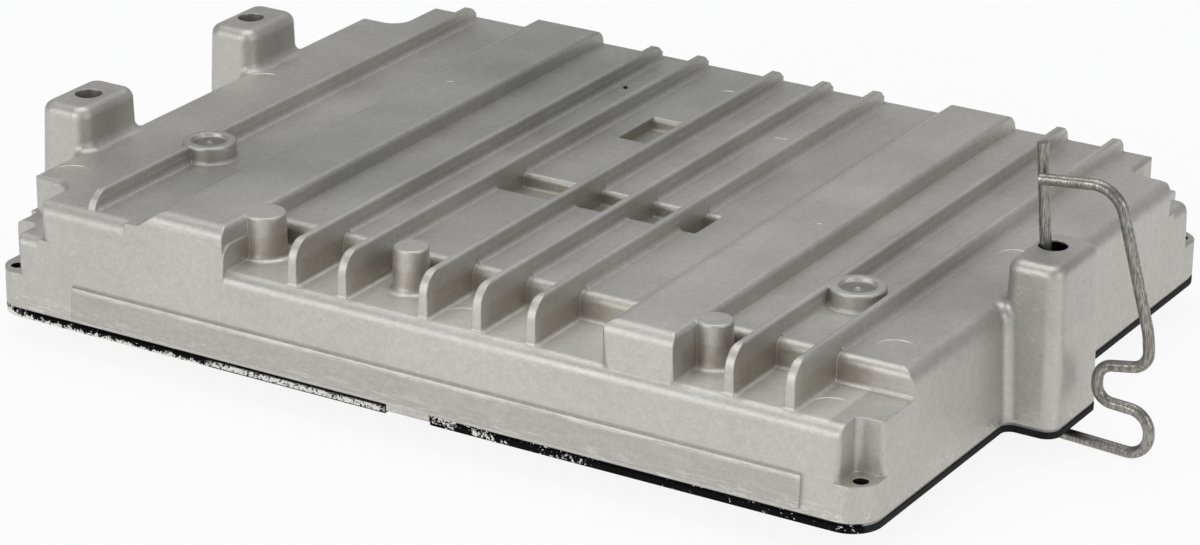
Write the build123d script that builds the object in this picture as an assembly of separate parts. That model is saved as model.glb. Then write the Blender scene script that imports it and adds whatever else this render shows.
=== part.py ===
from build123d import *
from math import radians, tan
import os

os.makedirs("parts", exist_ok=True)

# Engine control unit: ribbed die-cast housing on a flat base cover, with its
# circuit board, connector header and retaining clip. Millimetres, +Z up.
# The cover's underside is Z = 0, and heights are measured up from the seam,
# which is the housing's lower face.

# Base cover and gasket
COVER_T = 1.7
GASKET_T = 0.9
GASKET_INSET = 0.4
SEAM_Z = COVER_T + GASKET_T

# Housing outline at the seam, and its walls
CASE_L = 264.0
CASE_W = 198.0
CASE_CORNER_R = 8.5
DRAFT = 3.4
LEFT_DRAFT = 1.2
FLANGE_W = 4.2
SKIN = 3.0
CORNER_WALL = 2.8
CAVITY_R = 2.5
LEFT_X = -CASE_L / 2
RIGHT_X = CASE_L / 2
FRONT_Y = -CASE_W / 2
BACK_Y = CASE_W / 2

# Levels of the top
LEDGE_H = 24.0
DECK_H = 31.0
RAISED_H = 35.8
TOWER_H = 43.0

# Rounded edges of the top
LEDGE_EDGE_R = 3.4
DECK_FRONT_R = 3.9
DECK_BACK_R = 4.5
DECK_LEFT_R = 2.8
DECK_RIGHT_R = 4.5

# Ledge along the front, and the step behind it
LEDGE_D = 25.6
LEDGE_START_X = -56.8
STEP_LEAN = 0.5
STEP_FOOT_R = 1.0
STEP_TOP_R = 2.6

# Stepped corners: low ones hold the cover screws, high ones clear the harness.
# The high ones are length, width and height of the floor.
LOW_NOTCH_L = 8.4
LOW_NOTCH_W = 10.2
LOW_NOTCH_H = 9.6
LOW_NOTCH_R = 2.0
HIGH_NOTCH_R = 5.0
NOTCH_FLARE = 1.1
NOTCH_FLARE_TAPER = -45
FLOOR_EDGE_R = 3.0
HIGH_LIP_R = 4.0
LOW_LIP_R = 1.8
FRONT_LEFT_NOTCH = (15.0, 17.0, 20.5)
BACK_LEFT_NOTCH = (14.2, 23.5, 20.5)
BACK_RIGHT_NOTCH = (15.0, 19.2, 22.0)
HIGH_NOTCHES = ((-1, -1, FRONT_LEFT_NOTCH), (-1, 1, BACK_LEFT_NOTCH), (1, 1, BACK_RIGHT_NOTCH))

# Cooling ribs: x, and the gap behind the far end
RIBS = (
    (LEFT_X + 30.5, 8.2),
    (-37.3, 8.2),
    (-21.9, 8.2),
    (2.7, 8.2),
    (18.8, 8.2),
    (34.7, 7.4),
    (RIGHT_X - 40.9, 6.0),
    (RIGHT_X - 24.1, 6.0),
)
RIB_T = 2.2
RIB_DRAFT = 1.6
RIB_EDGE_R = 0.7
RIB_FOOT_R = 1.3
RIB_FRONT_GAP = 4.4
RIB_FRONT_R = 6.0
RIB_BACK_R = 4.0
FOOT_RUN_OUT = 0.2
RIB_LEAN = 0.4

# Raised blocks: outer foot of the ramp, start of the flat top, steep flank
BLOCK_FRONT_GAP = 2.7
BLOCK_FRONT_LEAN = 1.2
BLOCK_BACK_GAP = 6.0
BLOCK_FRONT_R = 3.6
BLOCK_RAMP_R = 4.0
BLOCK_EDGE_R = 1.5
BLOCK_FLANK_LEAN = 0.9
LEFT_BLOCK_FOOT_X = -84.5
LEFT_BLOCK_TOP_X = -78.0
RIGHT_BLOCK_FOOT_X = 52.0
RIGHT_BLOCK_TOP_X = 58.0
RIGHT_BLOCK_FLANK_X = 76.6
RIGHT_BLOCK_NOSE_X = 54.8
RIGHT_BLOCK_NOSE_R = 4.5

# Ejector columns on the ledge: x, distance behind the front outline, radius
COLUMNS = ((-55.8, 19.0, 6.0), (-10.4, 19.4, 4.9), (78.7, 19.4, 5.0))
COLUMN_FOOT_R = 2.0
COLUMN_EDGE_R = 0.6
COLUMN_LEAN = 0.3

# Dished bosses on the deck: x, distance behind the front outline
BOSSES = ((LEFT_X + 32.6, 54.5), (RIGHT_X - 33.9, 57.5))
BOSS_R = 7.4
BOSS_FOOT_R = 1.0
BOSS_EDGE_R = 0.7
DISH_R = 4.6
DISH_DEPTH = 1.0
DISH_EYE_R = 1.8

# Cross groove and small pocket in the deck, from the front outline
GROOVE_START_X = -21.5
GROOVE_END_X = 40.5
GROOVE_FRONT = 77.0
GROOVE_W = 12.7
GROOVE_DEPTH = 4.0
POCKET_START_X = -13.5
POCKET_END_X = 2.7
POCKET_FRONT = 128.0
POCKET_W = 18.0
POCKET_DEPTH = 3.5
HOLLOW_WALL_LEAN = 0.3
HOLLOW_LIP_R = 1.4
HOLLOW_FOOT_R = 0.8
HOLLOW_CORNER_R = 1.5

# Mounting towers: outer face x, front and back y from the front outline, hole x, y
LEFT_FRONT_TOWER = (LEFT_X - 13.6, 36.8, 63.6, LEFT_X - 4.9, 50.2)
LEFT_BACK_TOWER = (LEFT_X - 13.4, 114.0, 140.6, LEFT_X - 5.4, 127.2)
RIGHT_TOWER = (RIGHT_X + 13.5, 75.4, 102.4, RIGHT_X + 3.3, 91.3)
TOWER_ROOT = 4.0
TOWER_CORNER_R = 4.2
TOWER_TOP_R = 3.0
TOWER_DRAFT = 1.4
TOWER_FILLET_R = 2.6
TOWER_HOLE_R = 3.8

# Long raised panel and cover tab on the front wall
PANEL_START_X = LEFT_X + 26.7
PANEL_END_X = RIGHT_X - 18.0
PANEL_LOW_H = 1.3
PANEL_TOP_H = 10.0
PANEL_PROUD = 0.8
PANEL_ROOT = 1.0
PANEL_EDGE_R = 0.7
TAB_X = 1.0
TAB_L = 13.0
TAB_DEPTH = 1.8
TAB_T = 2.0
TAB_CLEARANCE = 0.3

# Cover screws and the holes they go up into
COVER_SCREW_R = 1.5
COVER_SCREW_L = 8.0
COVER_HEAD_R = 3.0
COVER_HEAD_H = 1.5
COVER_SCREW_INSET = (4.6, 5.4)
COVER_HOLE_TOP_R = 2.0
COVER_HOLE_TOP_DEPTH = 3.0
THREAD_CLEARANCE = 0.03
HOLE_CLEARANCE = 0.2

# Stiffening beads pressed into the base cover
BEAD_L = 150.0
BEAD_W = 9.0
BEAD_H = 0.8
BEAD_TAPER = 30.0
BEAD_YS = (-56.0, -19.0, 19.0, 56.0)

# Circuit board on posts under the deck
BOARD_T = 1.6
BOARD_TOP_H = 8.0
BOARD_GAP = 1.2
POST_R = 4.0
POST_SPREAD = 76.0
POSTS = (
    (LEFT_X + 20.0, FRONT_Y + 38.5),
    (LEFT_X + 20.0, BACK_Y - 38.0),
    (-POST_SPREAD, BACK_Y - 20.5),
    (POST_SPREAD, BACK_Y - 20.5),
    (RIGHT_X - 20.0, BACK_Y - 36.0),
    (RIGHT_X - 15.0, FRONT_Y + 38.5),
    (-34.0, FRONT_Y + 13.5),
    (64.0, FRONT_Y + 13.5),
)
BOARD_SCREW_R = 1.5
BOARD_SCREW_L = 8.0
PAN_HEAD_R = 2.8
PAN_HEAD_H = 1.9
PAN_EDGE = 0.7
THREAD_END = 0.4
DRIVE_R = 1.1
DRIVE_DEPTH = 1.0

# Connector header through the back wall
HEADER_X = 0.0
HEADER_H = 13.0
BAY_H = 13.0
SIGNAL_BAY_L = 68.0
POWER_BAY_L = 34.0
HEADER_WALL = 1.8
BAY_R = 2.0
HEADER_FLANGE_L = 127.0
HEADER_FLANGE_W = 24.0
HEADER_FLANGE_T = 2.6
HEADER_SCREW_PITCH_X = 117.0
HEADER_SCREW_PITCH_Z = 15.0
HEADER_REACH = 14.5
HEADER_WEB_T = 4.0
HEADER_INSIDE = 8.5
HEADER_CLEARANCE = 0.3
SEAL_T = 1.0
PAD_MARGIN = 1.5
PAD_TOP_H = 27.0
WALL_SCREW_L = 8.0

# Header pins
PIN_ROW_PITCH = 4.0
SIGNAL_COLUMNS = 16
SIGNAL_PITCH = 4.0
SIGNAL_PIN = 0.8
POWER_COLUMNS = 5
POWER_PITCH = 6.0
POWER_PIN = 1.6
PIN_IN_BAY = 9.0
PIN_ROW_STEP = 3.2
PIN_BELOW_BOARD = 1.0
PIN_CLEARANCE = 0.02

# Heat-sink web behind the step, with the power transistors clamped to it
WEB_T = 4.0
WEB_LOW_H = 11.0
WEB_START_X = -54.0
WEB_END_X = RIGHT_X - 22.0
TRANSISTOR_COUNT = 8
TRANSISTOR_PITCH = 20.0
TRANSISTOR_X = 28.0
TRANSISTOR_L = 10.2
TRANSISTOR_TAB_T = 1.3
TRANSISTOR_T = 4.4
TRANSISTOR_LOW_H = 12.4
TRANSISTOR_BODY_H = 9.2
TRANSISTOR_TAB_H = 15.0
LEAD_PITCH = 2.54
LEAD_W = 0.8
LEAD_T = 0.5
STRIP_T = 0.3
STRIP_END = 6.0
CLAMP_T = 1.0
CLAMP_W = 8.2
CLAMP_SCREW_L = 10.0

# Parts on the board: centre x, centre y, then sizes
MICRO_AT = (-62.0, 12.0)
MICRO_L = 24.2
MICRO_T = 4.0
MICRO_LEADS = 17
MEMORY_AT = (-30.0, 12.0)
MEMORY_L = 14.0
MEMORY_W = 11.5
MEMORY_T = 3.2
CHIP_LEAD_PITCH = 1.27
CHIP_LEAD_W = 0.6
CHIP_LEAD_T = 0.4
CHIP_LIFT = 0.4
CHIP_TAPER = -5
DRIVER_X = 8.0
DRIVER_Y = -36.0
DRIVER_COUNT = 4
DRIVER_PITCH = 24.0
DRIVER_L = 12.8
DRIVER_W = 7.5
DRIVER_T = 2.4
REGULATOR_AT = (66.0, 2.0)
CRYSTAL_AT = (-62.0, -18.0)
CRYSTAL_L = 11.2
CRYSTAL_W = 4.7
CRYSTAL_T = 3.6
CAPACITOR_X = RIGHT_X - 40.0
CAPACITOR_Y = 26.0
CAPACITOR_COUNT = 3
CAPACITOR_PITCH = 16.0
CAPACITOR_R = 6.25
CAPACITOR_H = 17.5
CAPACITOR_GROOVE = 0.5
CAPACITOR_GROOVE_H = 2.8
CAPACITOR_EDGE = 0.7
FILM_X = 16.0
FILM_Y = 40.0
FILM_COUNT = 4
FILM_PITCH = 9.0
FILM_L = 5.0
FILM_W = 13.0
FILM_H = 11.0
CHOKE_AT = (CAPACITOR_X - 26.0, 36.0)
CHOKE_R = 7.4
CHOKE_CORE = 6.0
CHOKE_WIRE = 1.2
CHOKE_TURNS = 14
DIODE_AT = (44.0, 2.0)
DIODE_COUNT = 3
DIODE_PITCH = 10.0
RESISTOR_Y = -50.0
RESISTOR_COUNT = 4
RESISTOR_PITCH = 24.0

# Retaining clip: bend points of the wire as x, y from the right tower's hole and
# height above the seam, each with its bend radius
WIRE_R = 1.525
CLIP_START = (-4.3, -0.1, 69.9)
CLIP_END = (-2.9, -3.5, 61.5)
CLIP_BENDS = (
    ((2.0, -0.1, -7.0), 3.2),
    ((29.7, -0.7, -8.1), 5.8),
    ((29.1, -0.9, 3.9), 5.8),
    ((14.5, -1.1, 4.9), 4.5),
    ((14.8, -1.3, 14.3), 4.5),
    ((28.7, -1.5, 16.7), 5.0),
    ((28.0, -1.9, 26.0), 20.0),
    ((18.2, -3.2, 63.6), 8.5),
)

STEP_Y = FRONT_Y + LEDGE_D
CEILING_H = DECK_H - SKIN
LEDGE_CEILING_H = LEDGE_H - SKIN
WEB_FACE_Y = STEP_Y + SKIN
BOARD_TOP_Z = SEAM_Z + BOARD_TOP_H
TOWERS = (LEFT_FRONT_TOWER, LEFT_BACK_TOWER, RIGHT_TOWER)
GROOVE = (GROOVE_START_X, GROOVE_END_X, GROOVE_FRONT, GROOVE_W, GROOVE_DEPTH)
POCKET = (POCKET_START_X, POCKET_END_X, POCKET_FRONT, POCKET_W, POCKET_DEPTH)
BODY_L = SIGNAL_BAY_L + POWER_BAY_L + 3 * HEADER_WALL
BODY_H = BAY_H + 2 * HEADER_WALL
HEADER_Z = SEAM_Z + HEADER_H


def up(height):
    """Z of a height above the seam."""
    return SEAM_Z + height


def lean(height):
    """How far a drafted outer wall has moved inwards at this height."""
    return height * tan(radians(DRAFT))


def section(corners):
    """Face bounded by (u, v, corner radius) corners, taken anticlockwise."""
    after = corners[1:] + corners[:1]
    if sum(a[0] * b[1] - b[0] * a[1] for a, b in zip(corners, after)) < 0:
        corners = corners[::-1]
    points = [(u, v) for u, v, r in corners]
    radii = [r for u, v, r in corners]
    return make_face(FilletPolyline(*points, radius=radii, close=True))


def along_x(corners, x0, x1):
    """Bar along X with a section given in Y and Z."""
    return extrude(Plane.YZ.offset(x0) * section(corners), amount=x1 - x0)


def along_y(corners, y0, y1):
    """Bar along Y with a section given in X and Z."""
    return extrude(Plane.XZ.offset(-y0) * section(corners), amount=y0 - y1)


def prism(face, z0, z1, taper=0.0):
    """Face in plan, raised from z0 to z1."""
    return extrude(Pos(0, 0, z0) * face, amount=z1 - z0, taper=taper)


def rod(x, y, z0, z1, r):
    """Vertical cylinder."""
    return Pos(x, y, (z0 + z1) / 2) * Cylinder(r, z1 - z0)


def block(x0, x1, y0, y1, z0, z1):
    """Box between two opposite corners."""
    return Pos((x0 + x1) / 2, (y0 + y1) / 2, (z0 + z1) / 2) * Box(x1 - x0, y1 - y0, z1 - z0)


def turned(corners):
    """Solid of revolution about Z, with a section given in radius and Z."""
    return revolve(Plane.XZ * section(corners), Axis.Z)


def row(count, pitch, centre=0.0):
    """Evenly spaced positions about a centre."""
    return [centre + (i - (count - 1) / 2) * pitch for i in range(count)]


def shell_block():
    """Ledge, step and deck with drafted walls and rounded edges."""
    deck_z = up(DECK_H)
    deck_back = (BACK_Y - lean(DECK_H), deck_z, DECK_BACK_R)
    left_part = along_x(
        [
            (FRONT_Y, SEAM_Z, 0),
            (FRONT_Y + lean(DECK_H), deck_z, DECK_FRONT_R),
            deck_back,
            (BACK_Y, SEAM_Z, 0),
        ],
        LEFT_X,
        LEDGE_START_X,
    )
    right_part = along_x(
        [
            (FRONT_Y, SEAM_Z, 0),
            (FRONT_Y + lean(LEDGE_H), up(LEDGE_H), LEDGE_EDGE_R),
            (STEP_Y, up(LEDGE_H), STEP_FOOT_R),
            (STEP_Y + STEP_LEAN, deck_z, STEP_TOP_R),
            deck_back,
            (BACK_Y, SEAM_Z, 0),
        ],
        LEDGE_START_X,
        RIGHT_X,
    )
    sides = along_y(
        [
            (LEFT_X, SEAM_Z, 0),
            (LEFT_X + DECK_H * tan(radians(LEFT_DRAFT)), deck_z, DECK_LEFT_R),
            (RIGHT_X - lean(DECK_H), deck_z, DECK_RIGHT_R),
            (RIGHT_X, SEAM_Z, 0),
        ],
        FRONT_Y,
        BACK_Y,
    )
    outline = prism(RectangleRounded(CASE_L, CASE_W, CASE_CORNER_R), SEAM_Z, deck_z)
    return (left_part + right_part) & sides & outline


def corner_prism(side_x, side_y, size, r, z0, z1, taper=0.0):
    """Prism over one corner of the outline, reaching in by the given size."""
    plan = Pos(side_x * CASE_L / 2, side_y * CASE_W / 2) * RectangleRounded(2 * size[0], 2 * size[1], r)
    return prism(plan, z0, z1, taper)


def high_notch(side_x, side_y, size):
    """Cutter for a stepped corner, flared where it breaks the deck."""
    top = up(DECK_H)
    shaft = corner_prism(side_x, side_y, size, HIGH_NOTCH_R, up(size[2]), top)
    flare = corner_prism(side_x, side_y, size, HIGH_NOTCH_R, top - NOTCH_FLARE, top, NOTCH_FLARE_TAPER)
    return shaft + flare


def low_notch(side_x, side_y):
    """Cutter for the foot of a corner, over its cover screw hole."""
    size = (LOW_NOTCH_L, LOW_NOTCH_W)
    return corner_prism(side_x, side_y, size, LOW_NOTCH_R, up(LOW_NOTCH_H), up(DECK_H))


def lip(x, y, side_x, side_y, r, z0):
    """Cutter that rounds an upright edge whose metal lies towards the given sides."""
    square = Pos(x + side_x * r / 2, y + side_y * r / 2) * Rectangle(r, r)
    round_part = Pos(x + side_x * r, y + side_y * r) * Circle(r)
    return prism(square - round_part, z0, up(DECK_H))


def corner_lips(side_x, side_y, size, r, z0):
    """Cutters for both upright outer edges of a stepped corner."""
    wall_x = side_x * (CASE_L / 2 - lean(z0 - SEAM_Z) * (1 if side_x > 0 else LEFT_DRAFT / DRAFT))
    wall_y = side_y * (CASE_W / 2 - lean(z0 - SEAM_Z))
    inner_x = side_x * (CASE_L / 2 - size[0])
    inner_y = side_y * (CASE_W / 2 - size[1])
    return lip(wall_x, inner_y, -side_x, -side_y, r, z0) + lip(inner_x, wall_y, -side_x, -side_y, r, z0)


def rib_blades():
    """Cooling ribs over ledge and deck, rounded at both ends."""
    front = FRONT_Y + RIB_FRONT_GAP
    root = up(LEDGE_CEILING_H + SKIN / 2)
    half = RIB_T / 2
    spread = (up(RAISED_H) - root) * tan(radians(RIB_DRAFT))
    blades = Part()
    for x, gap in RIBS:
        back = BACK_Y - gap
        blade = along_y(
            [
                (x - half - spread, root, 0),
                (x - half, up(RAISED_H), RIB_EDGE_R),
                (x + half, up(RAISED_H), RIB_EDGE_R),
                (x + half + spread, root, 0),
            ],
            front,
            back,
        )
        profile = along_x(
            [
                (front, root, 0),
                (front + RIB_LEAN, up(RAISED_H), RIB_FRONT_R),
                (back, up(RAISED_H), RIB_BACK_R),
                (back, root, 0),
            ],
            x - RIB_T * 2,
            x + RIB_T * 2,
        )
        blades += blade & profile
    return blades


def rib_feet():
    """Concave fillets along the ribs on the deck and on the ledge."""
    feet = Part()
    back = BACK_Y - lean(DECK_H) - DECK_BACK_R
    for x, gap in RIBS:
        on_ledge = x > LEDGE_START_X
        deck_front = STEP_Y + STEP_LEAN + STEP_TOP_R if on_ledge else FRONT_Y + lean(DECK_H) + DECK_FRONT_R
        feet += rib_foot(x, DECK_H, deck_front, min(back, BACK_Y - gap))
        if on_ledge:
            feet += rib_foot(x, LEDGE_H, FRONT_Y + lean(LEDGE_H) + LEDGE_EDGE_R, STEP_Y - STEP_FOOT_R)
    return feet


def rib_foot(x, level, y0, y1):
    """Concave fillets along both feet of a rib at one level."""
    half = RIB_T / 2 + (RAISED_H - level) * tan(radians(RIB_DRAFT))
    width = half + RIB_FOOT_R + FOOT_RUN_OUT
    return along_y(
        [
            (x - width, up(level) - SKIN / 2, 0),
            (x - width, up(level), 0),
            (x - half, up(level), RIB_FOOT_R),
            (x - half, up(level) + 2 * RIB_FOOT_R, 0),
            (x + half, up(level) + 2 * RIB_FOOT_R, 0),
            (x + half, up(level), RIB_FOOT_R),
            (x + width, up(level), 0),
            (x + width, up(level) - SKIN / 2, 0),
        ],
        y0,
        y1,
    )


def raised_blocks():
    """The two wide raised areas, ramped on the left and steep on the right."""
    deck = up(DECK_H)
    top = up(RAISED_H)
    root = up(LEDGE_CEILING_H + SKIN / 2)
    front = FRONT_Y + BLOCK_FRONT_GAP
    back = BACK_Y - BLOCK_BACK_GAP
    wall_front = FRONT_Y + lean(root - SEAM_Z)
    deck_front = STEP_Y + STEP_LEAN + STEP_TOP_R
    run_in = BLOCK_RAMP_R
    left = along_y(
        [
            (LEFT_BLOCK_FOOT_X - run_in, root, 0),
            (LEFT_BLOCK_FOOT_X - run_in, deck, 0),
            (LEFT_BLOCK_FOOT_X, deck, BLOCK_RAMP_R),
            (LEFT_BLOCK_TOP_X, top, BLOCK_RAMP_R),
            (LEDGE_START_X - BLOCK_FLANK_LEAN, top, BLOCK_EDGE_R),
            (LEDGE_START_X, root, 0),
        ],
        wall_front,
        back,
    )
    left = left & along_x(
        [
            (wall_front, root, 0),
            (FRONT_Y + lean(RAISED_H), top, DECK_FRONT_R),
            (back, top, RIB_BACK_R),
            (back, root, 0),
        ],
        LEFT_X,
        LEDGE_START_X,
    )
    right = along_y(
        [
            (RIGHT_BLOCK_FOOT_X - run_in, deck - SKIN / 2, 0),
            (RIGHT_BLOCK_FOOT_X - run_in, deck, 0),
            (RIGHT_BLOCK_FOOT_X, deck, BLOCK_RAMP_R),
            (RIGHT_BLOCK_TOP_X, top, BLOCK_RAMP_R),
            (RIGHT_BLOCK_FLANK_X - BLOCK_FLANK_LEAN, top, BLOCK_EDGE_R),
            (RIGHT_BLOCK_FLANK_X, deck - SKIN / 2, 0),
        ],
        deck_front,
        back,
    )
    nose_plan = section(
        [
            (RIGHT_BLOCK_NOSE_X, front, RIGHT_BLOCK_NOSE_R),
            (RIGHT_BLOCK_FLANK_X, front, BLOCK_EDGE_R),
            (RIGHT_BLOCK_FLANK_X, deck_front + STEP_TOP_R, 0),
            (RIGHT_BLOCK_NOSE_X, deck_front + STEP_TOP_R, 0),
        ]
    )
    nose = along_y(
        [
            (RIGHT_BLOCK_NOSE_X, root, 0),
            (RIGHT_BLOCK_NOSE_X + BLOCK_FLANK_LEAN, top, BLOCK_FRONT_R),
            (RIGHT_BLOCK_FLANK_X - BLOCK_FLANK_LEAN, top, BLOCK_EDGE_R),
            (RIGHT_BLOCK_FLANK_X, root, 0),
        ],
        front,
        deck_front + STEP_TOP_R,
    )
    nose = nose & prism(nose_plan, root, top)
    profile = along_x(
        [
            (front, root, 0),
            (front + BLOCK_FRONT_LEAN, top, BLOCK_FRONT_R),
            (back, top, RIB_BACK_R),
            (back, root, 0),
        ],
        LEDGE_START_X,
        RIGHT_X,
    )
    return left + ((right + nose) & profile)


def column(x, y, r):
    """Ejector column on the ledge, with a fillet round its foot."""
    foot = up(LEDGE_H)
    top = up(RAISED_H)
    return Pos(x, y, 0) * turned(
        [
            (0, foot - SKIN / 2, 0),
            (r + COLUMN_FOOT_R + FOOT_RUN_OUT, foot - SKIN / 2, 0),
            (r + COLUMN_FOOT_R + FOOT_RUN_OUT, foot, 0),
            (r, foot, COLUMN_FOOT_R),
            (r - COLUMN_LEAN, top, COLUMN_EDGE_R),
            (0, top, 0),
        ]
    )


def boss(x, y):
    """Round boss on the deck."""
    deck = up(DECK_H)
    top = up(RAISED_H)
    reach = BOSS_R + BOSS_FOOT_R + FOOT_RUN_OUT
    return Pos(x, y, 0) * turned(
        [
            (0, deck - SKIN / 2, 0),
            (reach, deck - SKIN / 2, 0),
            (reach, deck, 0),
            (BOSS_R, deck, BOSS_FOOT_R),
            (BOSS_R, top, BOSS_EDGE_R),
            (0, top, 0),
        ]
    )


def dish(x, y):
    """Cutter for the dish in a boss, with a low cone in its middle."""
    top = up(RAISED_H)
    floor = top - DISH_DEPTH
    return Pos(x, y, 0) * turned(
        [
            (0, top - DISH_DEPTH / 2, 0),
            (DISH_EYE_R, floor, 0),
            (DISH_R, floor, 0),
            (DISH_R + DISH_DEPTH / 2, top, 0),
            (0, top, 0),
        ]
    )


def tower_sides(tower):
    """Which side the tower is on, and its front and back y."""
    outer, front, back = tower[:3]
    return (1 if outer > 0 else -1), FRONT_Y + front, FRONT_Y + back


def tower_plan(tower):
    """Plan of a tower's foot with fillets to the wall."""
    side, front, back = tower_sides(tower)
    wall = side * CASE_L / 2
    root = wall - side * TOWER_ROOT
    run_in = TOWER_FILLET_R + FOOT_RUN_OUT
    return section(
        [
            (root, front - run_in, 0),
            (wall, front - run_in, 0),
            (wall, front, TOWER_FILLET_R),
            (tower[0], front, TOWER_CORNER_R),
            (tower[0], back, TOWER_CORNER_R),
            (wall, back, TOWER_FILLET_R),
            (wall, back + run_in, 0),
            (root, back + run_in, 0),
        ]
    )


def tower(spec):
    """Mounting tower, drafted and rounded, running into the wall."""
    side, front, back = tower_sides(spec)
    inner = side * (CASE_L / 2 - TOWER_ROOT)
    plan = Pos((spec[0] + inner) / 2, (front + back) / 2) * Rectangle(abs(spec[0] - inner), back - front)
    body = prism(plan, SEAM_Z, up(TOWER_H), TOWER_DRAFT)
    uprights = body.edges().filter_by(lambda e: e.bounding_box().size.Z > TOWER_H / 2)
    body = fillet(uprights, TOWER_CORNER_R)
    return fillet(body.faces().sort_by(Axis.Z)[-1].edges(), TOWER_TOP_R)


def with_tower(body, spec):
    """Tower joined to the body with concave fillets round its foot."""
    extra = tower(spec)
    joined = body + extra
    seams = new_edges(body, extra, combined=joined)
    seams = seams.filter_by(lambda e: e.bounding_box().max.Z > SEAM_Z + TOWER_FILLET_R)
    return fillet(seams, TOWER_FILLET_R)


def floor_rims(body, height):
    """Outer edges of the stepped corners' floors at this height."""
    z = up(height)
    reach = lean(DECK_H)
    flat = body.edges().filter_by(lambda e: e.bounding_box().size.Z < FOOT_RUN_OUT)
    level = flat.filter_by(lambda e: abs((e @ 0.5).Z - z) < FOOT_RUN_OUT)
    return level.filter_by(lambda e: min(RIGHT_X - abs((e @ 0.5).X), BACK_Y - abs((e @ 0.5).Y)) < reach)


def tower_holes(z0, z1):
    """Cutters for the three mounting holes."""
    return [rod(t[3], FRONT_Y + t[4], z0, z1, TOWER_HOLE_R) for t in TOWERS]


def front_panel():
    """Long raised panel low on the front wall, and the tab over the cover."""
    low_y = FRONT_Y + lean(PANEL_LOW_H)
    top_y = FRONT_Y + lean(PANEL_TOP_H)
    panel = along_x(
        [
            (low_y + PANEL_ROOT, up(PANEL_LOW_H), 0),
            (low_y - PANEL_PROUD, up(PANEL_LOW_H), 0),
            (top_y - PANEL_PROUD, up(PANEL_TOP_H), PANEL_EDGE_R),
            (top_y + PANEL_ROOT, up(PANEL_TOP_H), 0),
        ],
        PANEL_START_X,
        PANEL_END_X,
    )
    tab = block(
        TAB_X - TAB_L / 2,
        TAB_X + TAB_L / 2,
        FRONT_Y,
        FRONT_Y + TAB_T,
        SEAM_Z - TAB_DEPTH,
        up(PANEL_LOW_H),
    )
    return panel + tab


def hollow_cutter(x0, x1, front, width, depth):
    """Cutter for a flat hollow in the deck with rounded lips and foot."""
    top = up(DECK_H)
    floor = top - depth
    y0 = FRONT_Y + front
    y1 = y0 + width
    bar = along_x(
        [
            (y0 - 2 * HOLLOW_LIP_R, top, 0),
            (y0, top, HOLLOW_LIP_R),
            (y0 + HOLLOW_WALL_LEAN, floor, HOLLOW_FOOT_R),
            (y1 - HOLLOW_WALL_LEAN, floor, HOLLOW_FOOT_R),
            (y1, top, HOLLOW_LIP_R),
            (y1 + 2 * HOLLOW_LIP_R, top, 0),
            (y1 + 2 * HOLLOW_LIP_R, top + depth, 0),
            (y0 - 2 * HOLLOW_LIP_R, top + depth, 0),
        ],
        x0,
        x1,
    )
    plan = Pos((x0 + x1) / 2, (y0 + y1) / 2) * RectangleRounded(
        x1 - x0, width + 2 * HOLLOW_LIP_R, HOLLOW_CORNER_R
    )
    return bar & prism(plan, floor, top + depth)


def hollow_jacket(x0, x1, front, width, depth):
    """Metal kept round a hollow on the inside of the deck."""
    y0 = FRONT_Y + front
    return block(
        x0 - SKIN,
        x1 + SKIN,
        y0 - SKIN,
        y0 + width + SKIN,
        up(DECK_H) - depth - SKIN,
        up(DECK_H),
    )


def stepped_plan(inset):
    """Plan inside the walls, stepped in at the four corners."""
    plan = Rectangle(CASE_L - 2 * inset, CASE_W - 2 * inset)
    extra = CORNER_WALL + inset - FLANGE_W
    corners = HIGH_NOTCHES + ((1, -1, (LOW_NOTCH_L, LOW_NOTCH_W)),)
    for side_x, side_y, size in corners:
        plan -= Pos(side_x * CASE_L / 2, side_y * CASE_W / 2) * Rectangle(
            2 * (size[0] + extra), 2 * (size[1] + extra)
        )
    return fillet(plan.vertices(), CAVITY_R)


def cavity():
    """Hollow of the housing, less the posts and the heat-sink web."""
    top = up(CEILING_H)
    hollow = prism(stepped_plan(FLANGE_W), SEAM_Z, top)
    hollow -= block(
        LEDGE_START_X - SKIN, RIGHT_X, FRONT_Y, WEB_FACE_Y, up(LEDGE_CEILING_H), top
    )
    hollow -= block(
        WEB_START_X, WEB_END_X, WEB_FACE_Y - WEB_T, WEB_FACE_Y, up(WEB_LOW_H), top
    )
    for size in (GROOVE, POCKET):
        hollow -= hollow_jacket(*size)
    for x, y in POSTS:
        hollow -= rod(x, y, BOARD_TOP_Z, top, POST_R)
    return hollow


def cover_screw_points():
    """Plan positions of the four cover screws."""
    x = CASE_L / 2 - COVER_SCREW_INSET[0]
    y = CASE_W / 2 - COVER_SCREW_INSET[1]
    return [(sx * x, sy * y) for sx in (-1, 1) for sy in (-1, 1)]


def header_screw_points():
    """Positions of the header screws in x and z."""
    dx = HEADER_SCREW_PITCH_X / 2
    dz = HEADER_SCREW_PITCH_Z / 2
    return [(HEADER_X + sx * dx, HEADER_Z + sz * dz) for sx in (-1, 1) for sz in (-1, 1)]


def rod_y(x, z, y0, y1, r):
    """Cylinder along Y."""
    return Pos(x, (y0 + y1) / 2, z) * Rot(90, 0, 0) * Cylinder(r, y1 - y0)


def plate_y(length, height, r, y0, y1, x=HEADER_X, z=HEADER_Z):
    """Upright rounded plate between two y values."""
    plan = Plane.XZ.offset(-y0) * Pos(x, z) * RectangleRounded(length, height, r)
    return extrude(plan, amount=y0 - y1)


def clamp_screw_xs():
    """Clamp screws stand between every second pair of transistors."""
    xs = row(TRANSISTOR_COUNT, TRANSISTOR_PITCH, TRANSISTOR_X)
    return [x + TRANSISTOR_PITCH / 2 for x in xs[:-1:2]]


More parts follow.
